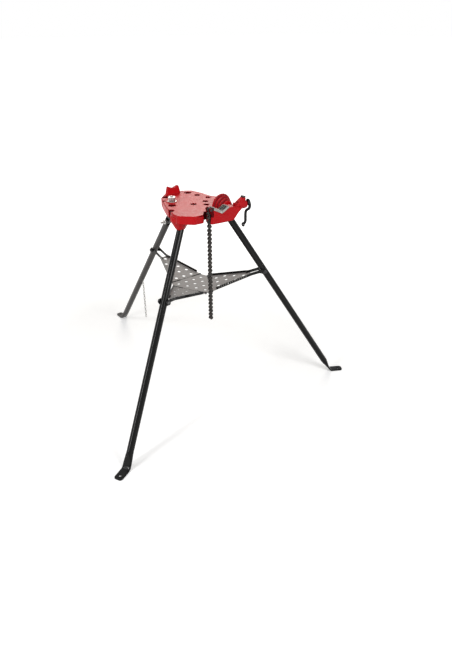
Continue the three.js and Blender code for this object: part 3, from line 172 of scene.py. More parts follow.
# Finishes
class Shader:
    """One node-based material under construction."""

    def __init__(self, name):
        self.material = bpy.data.materials.new(name)
        self.material.use_nodes = True
        self.tree = self.material.node_tree
        self.surface = self.tree.nodes["Principled BSDF"]
        self.place = self.node("ShaderNodeTexCoord").outputs["Object"]

    def node(self, kind, **values):
        made = self.tree.nodes.new(kind)
        for name, value in values.items():
            setattr(made, name, value)
        return made

    def link(self, source, target):
        self.tree.links.new(source, target)

    def set(self, **values):
        for name, value in values.items():
            self.surface.inputs[name.replace("_", " ")].default_value = value
        return self

    def feed(self, name, source):
        self.link(source, self.surface.inputs[name])
        return self

    def noise(self, scale, detail=4.0, roughness=0.55, stretch=None):
        place = self.place
        if stretch is not None:
            mapping = self.node("ShaderNodeMapping")
            mapping.inputs["Scale"].default_value = stretch
            self.link(place, mapping.inputs["Vector"])
            place = mapping.outputs["Vector"]
        noise = self.node("ShaderNodeTexNoise")
        noise.inputs["Scale"].default_value = scale
        noise.inputs["Detail"].default_value = detail
        noise.inputs["Roughness"].default_value = roughness
        self.link(place, noise.inputs["Vector"])
        return noise.outputs["Fac"]

    def ramp(self, source, stops):
        ramp = self.node("ShaderNodeValToRGB")
        elements = ramp.color_ramp.elements
        while len(elements) < len(stops):
            elements.new(0.5)
        for element, (position, colour) in zip(elements, stops):
            element.position = position
            element.color = (*colour, 1.0)
        self.link(source, ramp.inputs["Fac"])
        return ramp.outputs["Color"]

    def span(self, source, low, high, start=0.3, end=0.7):
        scaled = self.node("ShaderNodeMapRange")
        for name, value in (("From Min", start), ("From Max", end), ("To Min", low), ("To Max", high)):
            scaled.inputs[name].default_value = value
        self.link(source, scaled.inputs["Value"])
        return scaled.outputs["Result"]

    def maths(self, operation, first, second):
        made = self.node("ShaderNodeMath", operation=operation)
        for value, socket in ((first, made.inputs[0]), (second, made.inputs[1])):
            if isinstance(value, float):
                socket.default_value = value
            else:
                self.link(value, socket)
        return made.outputs[0]

    def mix(self, factor, first, second):
        mixed = self.node("ShaderNodeMix", data_type="RGBA")
        self.link(factor, mixed.inputs["Factor"])
        for value, socket in ((first, mixed.inputs[6]), (second, mixed.inputs[7])):
            if isinstance(value, tuple):
                socket.default_value = (*value, 1.0)
            else:
                self.link(value, socket)
        return mixed.outputs[2]

    def edges(self, radius, start=0.9, end=0.995):
        """1 along edges, 0 on even ground."""
        bevel = self.node("ShaderNodeBevel", samples=4)
        bevel.inputs["Radius"].default_value = radius
        geometry = self.node("ShaderNodeNewGeometry")
        dot = self.node("ShaderNodeVectorMath", operation="DOT_PRODUCT")
        self.link(bevel.outputs["Normal"], dot.inputs[0])
        self.link(geometry.outputs["Normal"], dot.inputs[1])
        return self.span(dot.outputs["Value"], 1.0, 0.0, start, end)

    def bump(self, source, strength, distance):
        bump = self.node("ShaderNodeBump")
        bump.inputs["Strength"].default_value = strength
        bump.inputs["Distance"].default_value = distance
        self.link(source, bump.inputs["Height"])
        self.link(bump.outputs["Normal"], self.surface.inputs["Normal"])
        return self


def red_enamel(name, low, high, specular):
    shader = Shader(name)
    tone = shader.ramp(shader.noise(11.0), [(0.3, low), (0.7, high)])
    # Painted shade: creases and hollows are darkened towards a deep red.
    crease_shade = shader.node("ShaderNodeNewGeometry").outputs["Pointiness"]
    tone = shader.mix(shader.span(crease_shade, 0.8, 0.0, 0.43, 0.495), tone, (0.10, 0.003, 0.005))
    # Painted shade: rounded rims are darkened to a deeper red, standing in for the sheen they miss; their
    # specular level drops there too.
    rim_shade = shader.edges(0.006, 0.84, 0.99)
    tone = shader.mix(shader.maths("MULTIPLY", rim_shade, 0.85), tone, (0.20, 0.003, 0.006))
    patches = shader.span(shader.noise(55.0), 0.0, 0.4, 0.5, 0.66)
    worn = shader.maths("MULTIPLY", shader.edges(0.0012), patches)
    shader.feed("Base Color", shader.mix(worn, tone, (0.20, 0.035, 0.035)))
    shader.feed("Specular IOR Level", shader.span(rim_shade, specular, specular / 8, 0.0, 1.0))
    shader.feed("Roughness", shader.span(shader.noise(45.0), 0.34, 0.44))
    return shader.bump(shader.noise(90.0, 3.0), 0.05, 0.0005).material


def warm_grey(level):
    return level, level * 0.94, level * 0.9


def black_enamel(name, low, high, roughness):
    shader = Shader(name)
    tone = shader.ramp(shader.noise(18.0), [(0.3, warm_grey(low)), (0.7, warm_grey(high))])
    patches = shader.span(shader.noise(70.0), 0.0, 0.6, 0.5, 0.68)
    worn = shader.maths("MULTIPLY", shader.edges(0.0008), patches)
    shader.feed("Base Color", shader.mix(worn, tone, (0.07, 0.066, 0.062)))
    shader.feed("Roughness", shader.span(shader.noise(80.0), roughness - 0.06, roughness + 0.08))
    return shader.bump(shader.noise(300.0, 2.0), 0.02, 0.0004).set(Specular_IOR_Level=0.18).material


def steel(name, low, high, roughness, metallic=1.0, scale=60.0, edge=None):
    shader = Shader(name)
    tone = shader.ramp(shader.noise(scale), [(0.3, low), (0.7, high)])
    # Painted highlight: the given edge colour lightens the edges.
    if edge is not None:
        tone = shader.mix(shader.edges(0.0006), tone, edge)
    shader.feed("Base Color", tone)
    shader.feed("Roughness", shader.span(shader.noise(4.0 * scale), roughness - 0.07, roughness + 0.1))
    return shader.bump(shader.noise(8.0 * scale, 3.0), 0.18, 0.0003).set(Metallic=metallic).material


def grey_sheet():
    shader = Shader("grey_sheet")
    rolled = shader.noise(26.0, 5.0, 0.6, (1.0, 9.0, 1.0))
    tone = shader.ramp(rolled, [(0.3, (0.225, 0.214, 0.206)), (0.7, (0.305, 0.291, 0.282))])
    shader.feed("Base Color", shader.mix(shader.edges(0.0006), tone, (0.16, 0.15, 0.145)))
    shader.feed("Roughness", shader.span(rolled, 0.44, 0.6))
    return shader.bump(shader.noise(420.0, 3.0), 0.15, 0.0003).set(Specular_IOR_Level=0.2).material


RED = red_enamel("red_enamel", (0.44, 0.003, 0.006), (0.56, 0.005, 0.010), 0.17)
# Painted shade: darker copies of the red enamel, one for the bender's grooves and a deeper one for tool
# holes, the recess behind the chain and the ear by its anchor.
GROOVE_SHADE = red_enamel("groove_shade_enamel", (0.18, 0.004, 0.008), (0.25, 0.006, 0.011), 0.10)
SHADE_MAROON = red_enamel("shaded_enamel", (0.070, 0.002, 0.004), (0.115, 0.004, 0.006), 0.04)
BLACK = black_enamel("black_enamel", 0.001, 0.003, 0.14)
# Painted sheen: a lighter black for the rear leg, standing in for the bright reflection it catches from the
# left.
SHEEN_BLACK = black_enamel("sheen_black_enamel", 0.065, 0.095, 0.34)
SHEET_GREY = grey_sheet()
# JAW_DARK goes on the jaws' tops and teeth: dark steel, with painted shade where the V lies in shadow.
JAW_LIGHT = steel("jaw_face", (0.20, 0.19, 0.18), (0.34, 0.33, 0.31), 0.34)
# The last colour of JAW_DARK, CHAIN and DARK is a painted highlight along their edges.
JAW_DARK = steel("jaw_teeth_and_shade", (0.025, 0.024, 0.023), (0.07, 0.068, 0.065),
                 0.45, 0.8, 90.0, (0.20, 0.19, 0.18))
CHAIN = steel("chain_steel", (0.010, 0.009, 0.008), (0.036, 0.031, 0.028),
              0.30, 0.75, 90.0, (0.17, 0.155, 0.145))
DARK = steel("dark_steel", (0.018, 0.018, 0.019), (0.045, 0.045, 0.046),
             0.36, 0.7, 70.0, (0.12, 0.118, 0.115))
ZINC = steel("zinc_plate", (0.40, 0.39, 0.375), (0.56, 0.55, 0.53), 0.3)
TIE = steel("tie_steel", (0.17, 0.165, 0.155), (0.36, 0.35, 0.335), 0.33)


# Forms
class Form:
    """Points in millimetres and faces of one piece, each face with the number of its finish."""

    def __init__(self):
        self.points = []
        self.faces = []
        self.finishes = []

    def add(self, shape, place=None, finish=0):
        points, faces = shape
        start = len(self.points)
        self.points += [place @ Vector(point) if place else Vector(point) for point in points]
        self.faces += [[start + corner for corner in face] for face in faces]
        self.finishes += [finish] * len(faces)
        return self


def rings_skin(rings, closed=False, capped=True):
    sides = len(rings[0])
    points = [point for ring in rings for point in ring]
    faces = []
    for ring in range(len(rings) if closed else len(rings) - 1):
        after = (ring + 1) % len(rings)
        for side in range(sides):
            beside = (side + 1) % sides
            faces.append([ring * sides + side, ring * sides + beside,
                          after * sides + beside, after * sides + side])
    if capped and not closed:
        last = (len(rings) - 1) * sides
        faces.append(list(reversed(range(sides))))
        faces.append([last + side for side in range(sides)])
    return points, faces


def circle(radius, sides):
    return [(radius * math.cos(2 * math.pi * i / sides), radius * math.sin(2 * math.pi * i / sides))
            for i in range(sides)]


def tube(path, radius, sides=16, closed=False):
    """A round bar along a path; the ring's directions are carried along without twist."""
    path = [Vector(point) for point in path]
    rings = []
    normal = None
    for i, point in enumerate(path):
        before = path[i - 1] if i or closed else point
        after = path[(i + 1) % len(path)] if i + 1 < len(path) or closed else point
        along = (after - before).normalized()
        if normal is None:
            normal = along.orthogonal()
        normal = (normal - along * normal.dot(along)).normalized()
        side = along.cross(normal)
        rings.append([point + normal * x + side * y for x, y in circle(radius, sides)])
    return rings_skin(rings, closed)


def lathe(profile, sides=32, closed=False):
    """Radius and height pairs turned about local z."""
    return rings_skin([[(r * x, r * y, z) for x, y in circle(1.0, sides)] for r, z in profile], closed)


def prism(corners, low, high, edge=0.0):
    """A flat outline drawn out along local z, its two rims chamfered."""
    inner = inset(corners, edge) if edge else corners
    rings = [[(*corner, low) for corner in inner]]
    if edge:
        rings.append([(*corner, low + edge) for corner in corners])
        rings.append([(*corner, high - edge) for corner in corners])
    return rings_skin(rings + [[(*corner, high) for corner in inner]])


def inset(corners, distance):
    made = []
    for i, (x, y) in enumerate(corners):
        before = Vector((x - corners[i - 1][0], y - corners[i - 1][1])).normalized()
        following = corners[(i + 1) % len(corners)]
        after = Vector((following[0] - x, following[1] - y)).normalized()
        middle = Vector((-before.y - after.y, before.x + after.x))
        middle *= 2 * distance / middle.length_squared
        made.append((x + middle.x, y + middle.y))
    return made


def pierced(corners, holes, low, high):
    """A flat sheet with holes through it."""
    mesh = bmesh.new()
    for loop in [corners] + holes:
        ring = [mesh.verts.new((x, y, low)) for x, y in loop]
        for i, vert in enumerate(ring):
            mesh.edges.new((ring[i - 1], vert))
    bmesh.ops.triangle_fill(mesh, use_beauty=True, use_dissolve=False, edges=mesh.edges[:], normal=(0, 0, 1))
    raised = bmesh.ops.extrude_face_region(mesh, geom=mesh.faces[:], use_keep_orig=True)
    for item in raised["geom"]:
        if isinstance(item, bmesh.types.BMVert):
            item.co.z = high
    bmesh.ops.recalc_face_normals(mesh, faces=mesh.faces[:])
    mesh.verts.index_update()
    points = [vert.co.copy() for vert in mesh.verts]
    faces = [[vert.index for vert in face.verts] for face in mesh.faces]
    mesh.free()
    return points, faces


def along_axis(place, direction):
    """Local z along a direction, from a place."""
    made = Vector(direction).to_track_quat("Z", "Y").to_matrix().to_4x4()
    made.translation = place
    return made


def smooth_path(points, steps):
    """A curve through all the points."""
    points = [Vector(point) for point in points]
    ends = [2 * points[0] - points[1]] + points + [2 * points[-1] - points[-2]]
    made = []
    for i in range(1, len(ends) - 2):
        a, b, c, d = ends[i - 1:i + 3]
        for k in range(steps):
            t = k / steps
            made.append(0.5 * (2 * b + (c - a) * t + (2 * a - 5 * b + 4 * c - d) * t ** 2
                               + (3 * b - a - 3 * c + d) * t ** 3))
    return made + [points[-1]]


# Pieces
SMOOTH_ANGLE = math.radians(38)


def dressed(name, mesh, finishes, body, replaced=()):
    mesh.materials.clear()
    for finish in finishes:
        mesh.materials.append(finish)
    mesh.shade_smooth()
    mesh.set_sharp_from_angle(angle=SMOOTH_ANGLE)
    piece = bpy.data.objects.new(name, mesh)
    scene.collection.objects.link(piece)
    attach(piece, body)
    if replaced:
        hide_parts(*replaced)
    return piece


def mesh_of(name, form):
    mesh = bpy.data.meshes.new(name)
    mesh.from_pydata([point * MM for point in form.points], [], form.faces)
    solid = bmesh.new()
    solid.from_mesh(mesh)
    bmesh.ops.recalc_face_normals(solid, faces=solid.faces[:])
    solid.to_mesh(mesh)
    solid.free()
    return mesh


def piece_of(name, form, finishes, body, replaced=()):
    piece = dressed(name, mesh_of(name, form), finishes, body, replaced)
    piece.data.polygons.foreach_set("material_index", form.finishes)
    return piece


def baked(mesh, modifiers):
    """A mesh after modifiers: kind and settings each."""
    holder = bpy.data.objects.new("forming", mesh)
    scene.collection.objects.link(holder)
    for kind, settings in modifiers:
        modifier = holder.modifiers.new(kind, kind)
        for name, value in settings.items():
            setattr(modifier, name, value)
    made = bpy.data.meshes.new_from_object(holder.evaluated_get(bpy.context.evaluated_depsgraph_get()))
    bpy.data.objects.remove(holder)
    return made


def cast_shade_index(place):
    """0 on open ground; 1, painted shade, in the bender's grooves; 2, darker painted shade, on the wall of a
    tool hole, in the recess behind the chain and on the ear by the chain's anchor.
    """
    x, y, z = place / MM - AXIS
    hole = any(math.hypot(x - hx, y - hy) < diameter / 2 + 0.6 for hx, hy, diameter in TOOL_HOLES)
    recess = -58 < x < -14 and -138 < y < -98
    along = (y - BENDER_START) % GROOVE_PITCH
    ridge = BENDER_RADIUS + (y - BENDER_START) * BENDER_SLOPE
    sunk = math.hypot(x - BENDER_X, z - PLATE_TOP) < ridge - 2.2
    groove = BENDER_START < y < BENDER_END and sunk and 2 < along < 10 and z > PLATE_TOP + 0.6 and x > 18
    ear = x < -36 and y < -135 and z > PLATE_TOP - 5
    below = z < PLATE_TOP - 0.6
    if (hole and below and z > PLATE_TOP - 15) or (recess and below) or ear:
        return 2
    return 1 if groove else 0


def cast_base():
    mesh = baked(nodes["base_casting"].data.copy(), [
        ("REMESH", {"mode": "VOXEL", "voxel_size": 0.0012}),
        ("SMOOTH", {"factor": 0.5, "iterations": 4}),
        ("DECIMATE", {"ratio": 0.3}),
    ])
    piece = dressed("cast_base", mesh, [RED, GROOVE_SHADE, SHADE_MAROON], "base", ["base_casting"])
    # Faces in the grooves, holes, recess and ear take the painted shade.
    for face in piece.data.polygons:
        face.material_index = cast_shade_index(face.center)


def softened(node, name, finish, body, width=0.0008):
    """A copy of a plain node with its edges broken."""
    mesh = nodes[node].data.copy()
    solid = bmesh.new()
    solid.from_mesh(mesh)
    bmesh.ops.remove_doubles(solid, verts=solid.verts[:], dist=0.00001)
    bmesh.ops.dissolve_limit(solid, angle_limit=0.01, verts=solid.verts[:], edges=solid.edges[:])
    solid.to_mesh(mesh)
    solid.free()
    bevel = {"width": width, "segments": 2, "limit_method": "ANGLE", "angle_limit": 0.6}
    mesh = baked(mesh, [("BEVEL", bevel)])
    return dressed(name, mesh, [finish], body, [node])


def jaws():
    for side in ("left", "right"):
        node = f"jaw_{side}"
        mesh = nodes[node].data.copy()
        piece = dressed(f"toothed_jaw_{side}", mesh, [JAW_DARK, JAW_LIGHT], "base", [node])
        # Faces that look along y take the light steel; the tops and the teeth in the V take the darker steel,
        # which is partly painted shade.
        for face in piece.data.polygons:
            face.material_index = 1 if abs(face.normal.y) > 0.9 else 0


# Legs
def leg_ring(leg, centre, normal, in_plane, across, squareness=2.0, sides=40):
    def blunt(value):
        return math.copysign(abs(value) ** (2.0 / squareness), value)

    ring = []
    for x, y in circle(1.0, sides):
        place = Vector(centre) + Vector(normal) * in_plane * blunt(x)
        point = leg.world(place, across * blunt(y))
        point.z = max(point.z, 0.0)
        ring.append(point)
    return ring


def leg_rings(leg):
    reach = (leg.hinge[1] - FOOT_THICKNESS / 2 + FOOT_GROUND_CUT) / math.cos(leg.tilt)
    turn = math.pi / 2 - leg.tilt
    tangent = FOOT_BEND * math.tan(turn / 2)
    half = FOOT_THICKNESS / 2
    bore = TUBE_RADIUS - TUBE_WALL
    rings = [leg_ring(leg, leg.at(reach - 2 * FOOT_TAPER), leg.normal, bore, bore),
             leg_ring(leg, leg.at(-LEG_OVERHANG), leg.normal, bore, bore),
             leg_ring(leg, leg.at(-LEG_OVERHANG), leg.normal, TUBE_RADIUS - 0.6, TUBE_RADIUS - 0.6),
             leg_ring(leg, leg.at(-LEG_OVERHANG + 0.6), leg.normal, TUBE_RADIUS, TUBE_RADIUS)]
    steps = 10
    for i in range(steps):
        share = i / steps
        ease = share ** 2 * (3 - 2 * share)
        rings.append(leg_ring(leg, leg.at(reach - tangent - FOOT_TAPER * (1 - share)), leg.normal,
                              TUBE_RADIUS + (half - TUBE_RADIUS) * ease,
                              TUBE_RADIUS + (FOOT_HALF - TUBE_RADIUS) * ease, 2 + 2 * ease))
    centre = leg.at(reach - tangent) + leg.normal * FOOT_BEND
    for i in range(steps + 1):
        angle = leg.tilt + turn * i / steps
        normal = Vector((math.cos(angle), math.sin(angle)))
        rings.append(leg_ring(leg, centre - normal * FOOT_BEND, normal, half, FOOT_HALF, 4))
    toe = leg.at(reach) + Vector((FOOT_LENGTH, 0.0))
    for back, across in ((8.4, 18.0), (4.6, 16.2), (2.0, 14.2), (0.7, 12.6), (0.0, 11.4)):
        rings.append(leg_ring(leg, toe - Vector((back, 0.0)), (0.0, 1.0), half, across, 4))
    return rings, toe


def cut(mesh, cutters):
    """A closed mesh less some closed forms."""
    tools = []
    for form in cutters:
        holder = bpy.data.objects.new("cutter", mesh_of("cutter", form))
        scene.collection.objects.link(holder)
        tools.append(holder)
    made = baked(mesh, [("BOOLEAN", {"operation": "DIFFERENCE", "solver": "EXACT", "object": tool})
                        for tool in tools])
    for tool in tools:
        bpy.data.objects.remove(tool)
    return made


def legs():
    for leg in LEGS:
        rings, toe = leg_rings(leg)
        mesh = mesh_of("tube", Form().add(rings_skin(rings)))
        hole = along_axis(leg.world((toe[0] - FOOT_HALF, -5.0)), UP)
        cutters = [Form().add(lathe([(FOOT_HOLE_RADIUS, 0.0), (FOOT_HOLE_RADIUS, 20.0)], 24), hole)]
        if leg is REAR:
            slot = frame_of(leg.out * leg.down[0] + UP * leg.down[1], leg.across,
                            leg.out * leg.normal[0] + UP * leg.normal[1], leg.world(leg.hinge))
            ends = [(-LEG_OVERHANG - 5, -TANG_HALF), (TANG_SLOT, -TANG_HALF), (TANG_SLOT, TANG_HALF),
                    (-LEG_OVERHANG - 5, TANG_HALF)]
            cutters.append(Form().add(prism(ends, -30.0, 30.0), slot))
        # The rear leg takes the lighter black with painted sheen.
        finish = SHEEN_BLACK if leg is REAR else BLACK
        dressed(f"tube_leg_{leg.name}", cut(mesh, cutters), [finish], f"leg_{leg.name}", [f"leg_{leg.name}"])


# Fasteners
def hexagon(radius):
    return circle(radius, 6)


def dome(radius, rise, base, steps=5):
    return [(radius * math.cos(math.pi / 2 * i / steps), base + rise * math.sin(math.pi / 2 * i / steps))
            for i in range(steps)] + [(0.01, base + rise)]


def rivet(half, shank, head, rise):
    """A pin with a domed head at both ends."""
    top = [(shank, half - 0.2), (head, half - 0.2)] + dome(head, rise, half)
    return lathe([(r, -z) for r, z in reversed(top)] + top, 28)


def leg_pins():
    for leg in (LEFT, RIGHT):
        form = Form().add(rivet(27.8, 5.0, 7.2, 1.6), along_axis(leg.world(leg.hinge), leg.across))
        piece_of(f"hinge_rivet_{leg.name}", form, [DARK], "base", [f"leg_pin_{leg.name}"])
    pin = lathe([(0.01, -16.0), (4.2, -16.0), (5.0, -15.2), (5.0, 35.0), (4.2, 36.0), (0.01, 36.0)], 28)
    hinge = along_axis(REAR.world(REAR.hinge), REAR.across)
    piece_of("rear_hinge_pin", Form().add(pin, hinge), [ZINC], "base", ["leg_pin_rear"])
    collar = lathe([(5.2, 14.2), (9.2, 14.2), (10.0, 15.0), (10.0, 18.3), (9.2, 19.1), (5.2, 19.1)], 36, True)
    piece_of("rear_hinge_collar", Form().add(collar, hinge), [ZINC], "base", ["rear_pin_collar"])
    softened("rear_leg_bracket", "rear_bracket", BLACK, "base", 0.0015)


def tray_bolts():
    for leg in LEGS:
        place = along_axis(leg.world(leg.pivot), leg.across)
        shank = [(4.5, -PIVOT_HALF - 3.8), (4.5, PIVOT_HALF + 8.4), (3.6, PIVOT_HALF + 9.2)]
        head = [(0.01, -24.6), (5.4, -24.6), (7.6, -23.4), (8.6, -21.2), (8.6, -18.2), (0.01, -18.2)]
        washer = [(4.5, 18.1), (9.6, 18.1), (10.0, 18.5), (10.0, 19.1), (9.6, 19.4), (4.5, 19.4)]
        form = Form().add(lathe(shank, 20), place)
        form.add(lathe(head, 28), place)
        form.add(prism(hexagon(8.2), 19.4, 25.4, 0.7), place)
        form.add(lathe(washer, 32, True), place)
        piece_of(f"pivot_bolt_{leg.name}", form, [DARK], f"leg_{leg.name}", [f"tray_bolt_{leg.name}"])


# Tray
def row_places(low, high, pitch):
    count = max(math.floor((high - low) / pitch), 0)
    start = (low + high - count * pitch) / 2
    return [start + i * pitch for i in range(count + 1)]


def perforations(rows, edges_at):
    places = []
    for row in rows:
        low, high = edges_at(row)
        if high - low > 2 * HOLE_EDGE:
            places += [(row, place) for place in row_places(low + HOLE_EDGE, high - HOLE_EDGE, HOLE_PITCH)]
    return places


def round_holes(places):
    return [[(x + a, y + b) for a, b in circle(HOLE_RADIUS, 24)] for x, y in places]


def notched(edge, depth, low, high, notches):
    """Corners along one edge from low to high, stepping in by depth at each notch."""
    corners = [(edge, low)]
    for start, end in sorted(notches):
        corners += [(edge, start - 0.4), (edge + depth, start - 0.4),
                    (edge + depth, end + 0.4), (edge, end + 0.4)]
    return corners + [(edge, high)]


def knuckle(span, place, radius=KNUCKLE_RADIUS):
    low, high = span
    profile = [(0.01, low), (radius - 0.5, low), (radius, low + 0.5),
               (radius, high - 0.5), (radius - 0.5, high), (0.01, high)]
    return lathe(profile, 24), place @ Matrix.Rotation(-math.pi / 2, 4, "X")


def leaf_sheet(leg):
    def edges_at(s):
        share = (s - FOLD_GAP) / (leg.end - FOLD_GAP)
        return leg.low + (-ARM_OUTER - leg.low) * share, leg.high + (ARM_OUTER - leg.high) * share

    rows = row_places(FOLD_GAP + HOLE_EDGE, leg.end - HOLE_EDGE, HOLE_PITCH)
    corners = notched(FOLD_GAP, 2.8, leg.low, leg.high, leg.panel_knuckles())
    corners += [(leg.end, ARM_OUTER), (leg.end, -ARM_OUTER)]
    return pierced(corners, round_holes(perforations(rows, edges_at)), -SHEET / 2, SHEET / 2), edges_at


def flange(start, end, side, slotted):
    """A strip that stands on the sheet's edge: its shape, and its place in the leaf's frame."""
    along = Vector((end[0] - start[0], end[1] - start[1], 0.0))
    length = along.length
    along.normalize()
    place = frame_of(along, UP, along.cross(UP), Vector((*start, 0.0)))
    corners = [(0.0, -SHEET / 2), (length, -SHEET / 2), (length, FLANGE_RISE), (1.5, FLANGE_RISE),
               (0.0, FLANGE_RISE - 1.5)]
    slots = []
    if slotted:
        lean = math.tan(math.radians(24.0))
        for x in row_places(10.5, length - 10.5, 10.5):
            middle = (FLANGE_RISE + SHEET / 2) / 2
            slots.append([(x + dx + dy * lean, middle + dy)
                          for dx, dy in ((-2, -3), (2, -3), (2, 3), (-2, 3))])
    low, high = (-SHEET, 0.0) if side > 0 else (0.0, SHEET)
    return pierced(corners, slots, low, high), place


def leaf_arm(leg, side):
    """Clevis arm with a round ear at the pivot: local x outward, y out of the sheet."""
    start = leg.end - FLANGE_SETBACK
    ear = [(leg.length + EAR_RADIUS * math.sin(a), -EAR_RADIUS * math.cos(a))
           for a in [math.pi * i / 20 for i in range(21)]]
    neck = leg.length - 2 * EAR_RADIUS
    corners = [(start, -SHEET / 2), (neck, -SHEET / 2), (neck + 8.0, -4.5), (leg.length - 8.0, -10.6)] + ear
    corners += [(leg.length - EAR_RADIUS, EAR_RADIUS), (start, FLANGE_RISE)]
    place = frame_of(Vector((1, 0, 0)), UP, Vector((0, -1, 0)), Vector((0, 0, 0)))
    low, high = sorted((-side * PIVOT_HALF, -side * ARM_OUTER))
    return prism(corners, low, high, 0.6), place


def tray_leaves():
    for leg in LEGS:
        place = leg.leaf()
        sheet, edges_at = leaf_sheet(leg)
        form = Form().add(sheet, place)
        start = FOLD_GAP + FLANGE_SETBACK
        for side, v in zip((-1, 1), edges_at(start)):
            strip, local = flange((start, v), (leg.end, side * ARM_OUTER), -side, leg is RIGHT and side < 0)
            form.add(strip, place @ local, 1)
            arm, local = leaf_arm(leg, side)
            form.add(arm, place @ local, 1)
        for span in leg.leaf_knuckles():
            bar, local = knuckle(span, place)
            form.add(bar, local, 1)
        piece_of(f"tray_sheet_{leg.name}", form, [SHEET_GREY, BLACK], f"tray_leaf_{leg.name}",
                 [f"tray_leaf_{leg.name}"])


def tray_panel():
    corners = []
    form = Form()

    def turned(leg, u, v):
        return tuple((leg.out * u + leg.across * v).xy)

    for leg in (RIGHT, REAR, LEFT):
        edge = notched(leg.fold - FOLD_GAP, -2.8, leg.low, leg.high, leg.leaf_knuckles())
        corners += [turned(leg, u, v) for u, v in edge]
        for span in leg.panel_knuckles():
            bar, local = knuckle(span, leg.plane((leg.fold, TRAY_HEIGHT)))
            form.add(bar, local, 1)
    plain = [turned(leg, leg.fold - FOLD_GAP, v) for leg in (RIGHT, REAR, LEFT) for v in (leg.low, leg.high)]

    def edges_at(y):
        crossings = []
        for (x0, y0), (x1, y1) in zip(plain, plain[1:] + plain[:1]):
            if (y0 - y) * (y1 - y) < 0:
                crossings.append(x0 + (x1 - x0) * (y - y0) / (y1 - y0))
        return min(crossings), max(crossings)

    heights = [y for _, y in plain]
    rows = row_places(min(heights) + HOLE_EDGE, max(heights) - HOLE_EDGE, HOLE_PITCH)
    places = [(x, y) for y, x in perforations(rows, edges_at)]
    lift = Matrix.Translation(AXIS + UP * TRAY_HEIGHT)
    form.add(pierced(corners, round_holes(places), -SHEET / 2, SHEET / 2), lift)
    piece_of("tray_sheet_middle", form, [SHEET_GREY, BLACK], "tray_panel", ["tray_panel"])


def fold_pins():
    for leg in LEGS:
        low, high = leg.low + 4.0, leg.high - 4.0
        profile = [(0.01, low - 4.6), (4.2, low - 4.6), (5.2, low - 3.4), (5.2, low - 0.4),
                   (1.7, low - 0.4), (1.7, high + 0.4), (5.2, high + 0.4), (5.2, high + 3.4),
                   (4.2, high + 4.6), (0.01, high + 4.6)]
        place = leg.plane((leg.fold, TRAY_HEIGHT)) @ Matrix.Rotation(-math.pi / 2, 4, "X")
        piece_of(f"fold_rivet_{leg.name}", Form().add(lathe(profile, 20), place), [BLACK], "tray_panel",
                 [f"fold_pin_{leg.name}"])


# Vise chain
LINK_RADIUS = 7.4
LINK_WAIST = 3.0
INNER_PLATE = (1.35, 3.65)
OUTER_PLATE = (3.9, 6.2)


def link_outline():
    lean = math.radians(38)
    arc = [(-lean + (math.pi + 2 * lean) * i / 14) for i in range(15)]
    upper = [(LINK_RADIUS * math.cos(a), LINK_RADIUS * math.sin(a)) for a in arc]
    lower = [(-x, -y - CHAIN_PITCH) for x, y in upper]
    waist = [(-LINK_WAIST, -CHAIN_PITCH / 2)]
    return upper + waist + lower + [(LINK_WAIST, -CHAIN_PITCH / 2)]


def chain_run(name, first, count):
    form = Form()
    shape = link_outline()
    for order in range(first, first + count):
        place = frame_of(Vector((1, 0, 0)), UP, Vector((0, -1, 0)), CHAIN_PLACE - UP * order * CHAIN_PITCH)
        near, far = INNER_PLATE if order % 2 == 0 else OUTER_PLATE
        for low, high in ((near, far), (-far, -near)):
            form.add(prism(shape, low, high, 0.5), place)
        if order % 2 == 0:
            for drop in (0.0, -CHAIN_PITCH):
                barrel = Matrix.Translation((0.0, drop, 0.0))
                form.add(lathe([(4.2, -1.5), (4.2, 1.5)], 20), place @ barrel)
        pin = place @ Matrix.Translation((0.0, -CHAIN_PITCH, 0.0))
        form.add(rivet(6.2, 2.2, 2.9, 0.6), pin)
    piece_of(f"links_{name}", form, [CHAIN], f"chain_{name}", [f"chain_{name}"])


def vise_chain():
    for name, first, count in (("top", 0, 4), ("middle", 4, 12), ("bottom", 16, 12)):
        chain_run(name, first, count)
    anchor = along_axis(CHAIN_PLACE, (0, 1, 0))
    piece_of("chain_anchor_rivet", Form().add(rivet(14.0, 3.0, 4.6, 1.2), anchor), [DARK], "base",
             ["chain_anchor_pin"])


# Clamp screw and crank
CRANK_LINE = [(1, -5), (-3, -13.5), (-10.5, -10), (-16, 3), (-13, 15.5), (-3, 23),
              (6, 31), (8.4, 42), (8.4, 58), (9, 73), (18, 85)]


def screw_and_crank():
    along_x = along_axis(SCREW_PLACE, (1, 0, 0))
    profile = [(0.01, 68.5), (3.6, 68.5)]
    x = 69.5
    while x < 119.0:
        profile += [(4.5, x), (4.5, x + 0.5), (3.8, x + 1.1), (3.8, x + 1.5)]
        x += 2.2
    profile += [(4.5, 121.0), (4.5, 122.4), (8.4, 122.4), (9.0, 123.0), (9.0, 124.5), (8.4, 125.1),
                (4.5, 125.1), (4.5, 136.2), (0.01, 136.2)]
    piece_of("screw_thread", Form().add(lathe(profile, 28), along_x), [DARK], "clamp_screw",
             ["clamp_screw"])
    path = smooth_path([SCREW_PLACE + Vector((CRANK_X, back, -drop)) for back, drop in CRANK_LINE], 7)
    form = Form().add(tube(path, 5.6, 20))
    hub = [(4.7, 125.5), (7.7, 125.5), (8.5, 126.3), (8.5, 135.7), (7.7, 136.5), (4.7, 136.5)]
    form.add(lathe(hub, 32, True), along_x)
    ring = along_axis(SCREW_PLACE + Vector((CRANK_X, 22.0, -89.0)), (1, 0, 0))
    form.add(lathe([(6 + 3 * x, 3 * y) for x, y in circle(1.0, 14)], 32, True), ring)
    piece_of("crank_bar", form, [BLACK], "clamp_screw", ["crank_handle"])
    nut = Form().add(prism(hexagon(9.6), 137.0, 142.6, 0.8), along_x)
    piece_of("crank_end_nut", nut, [DARK], "clamp_screw", ["crank_nut"])
    softened("draw_hook", "chain_hook", RED, "draw_hook", 0.0006)
    softened("arm_cap", "arm_tip_cap", DARK, "base", 0.0012)


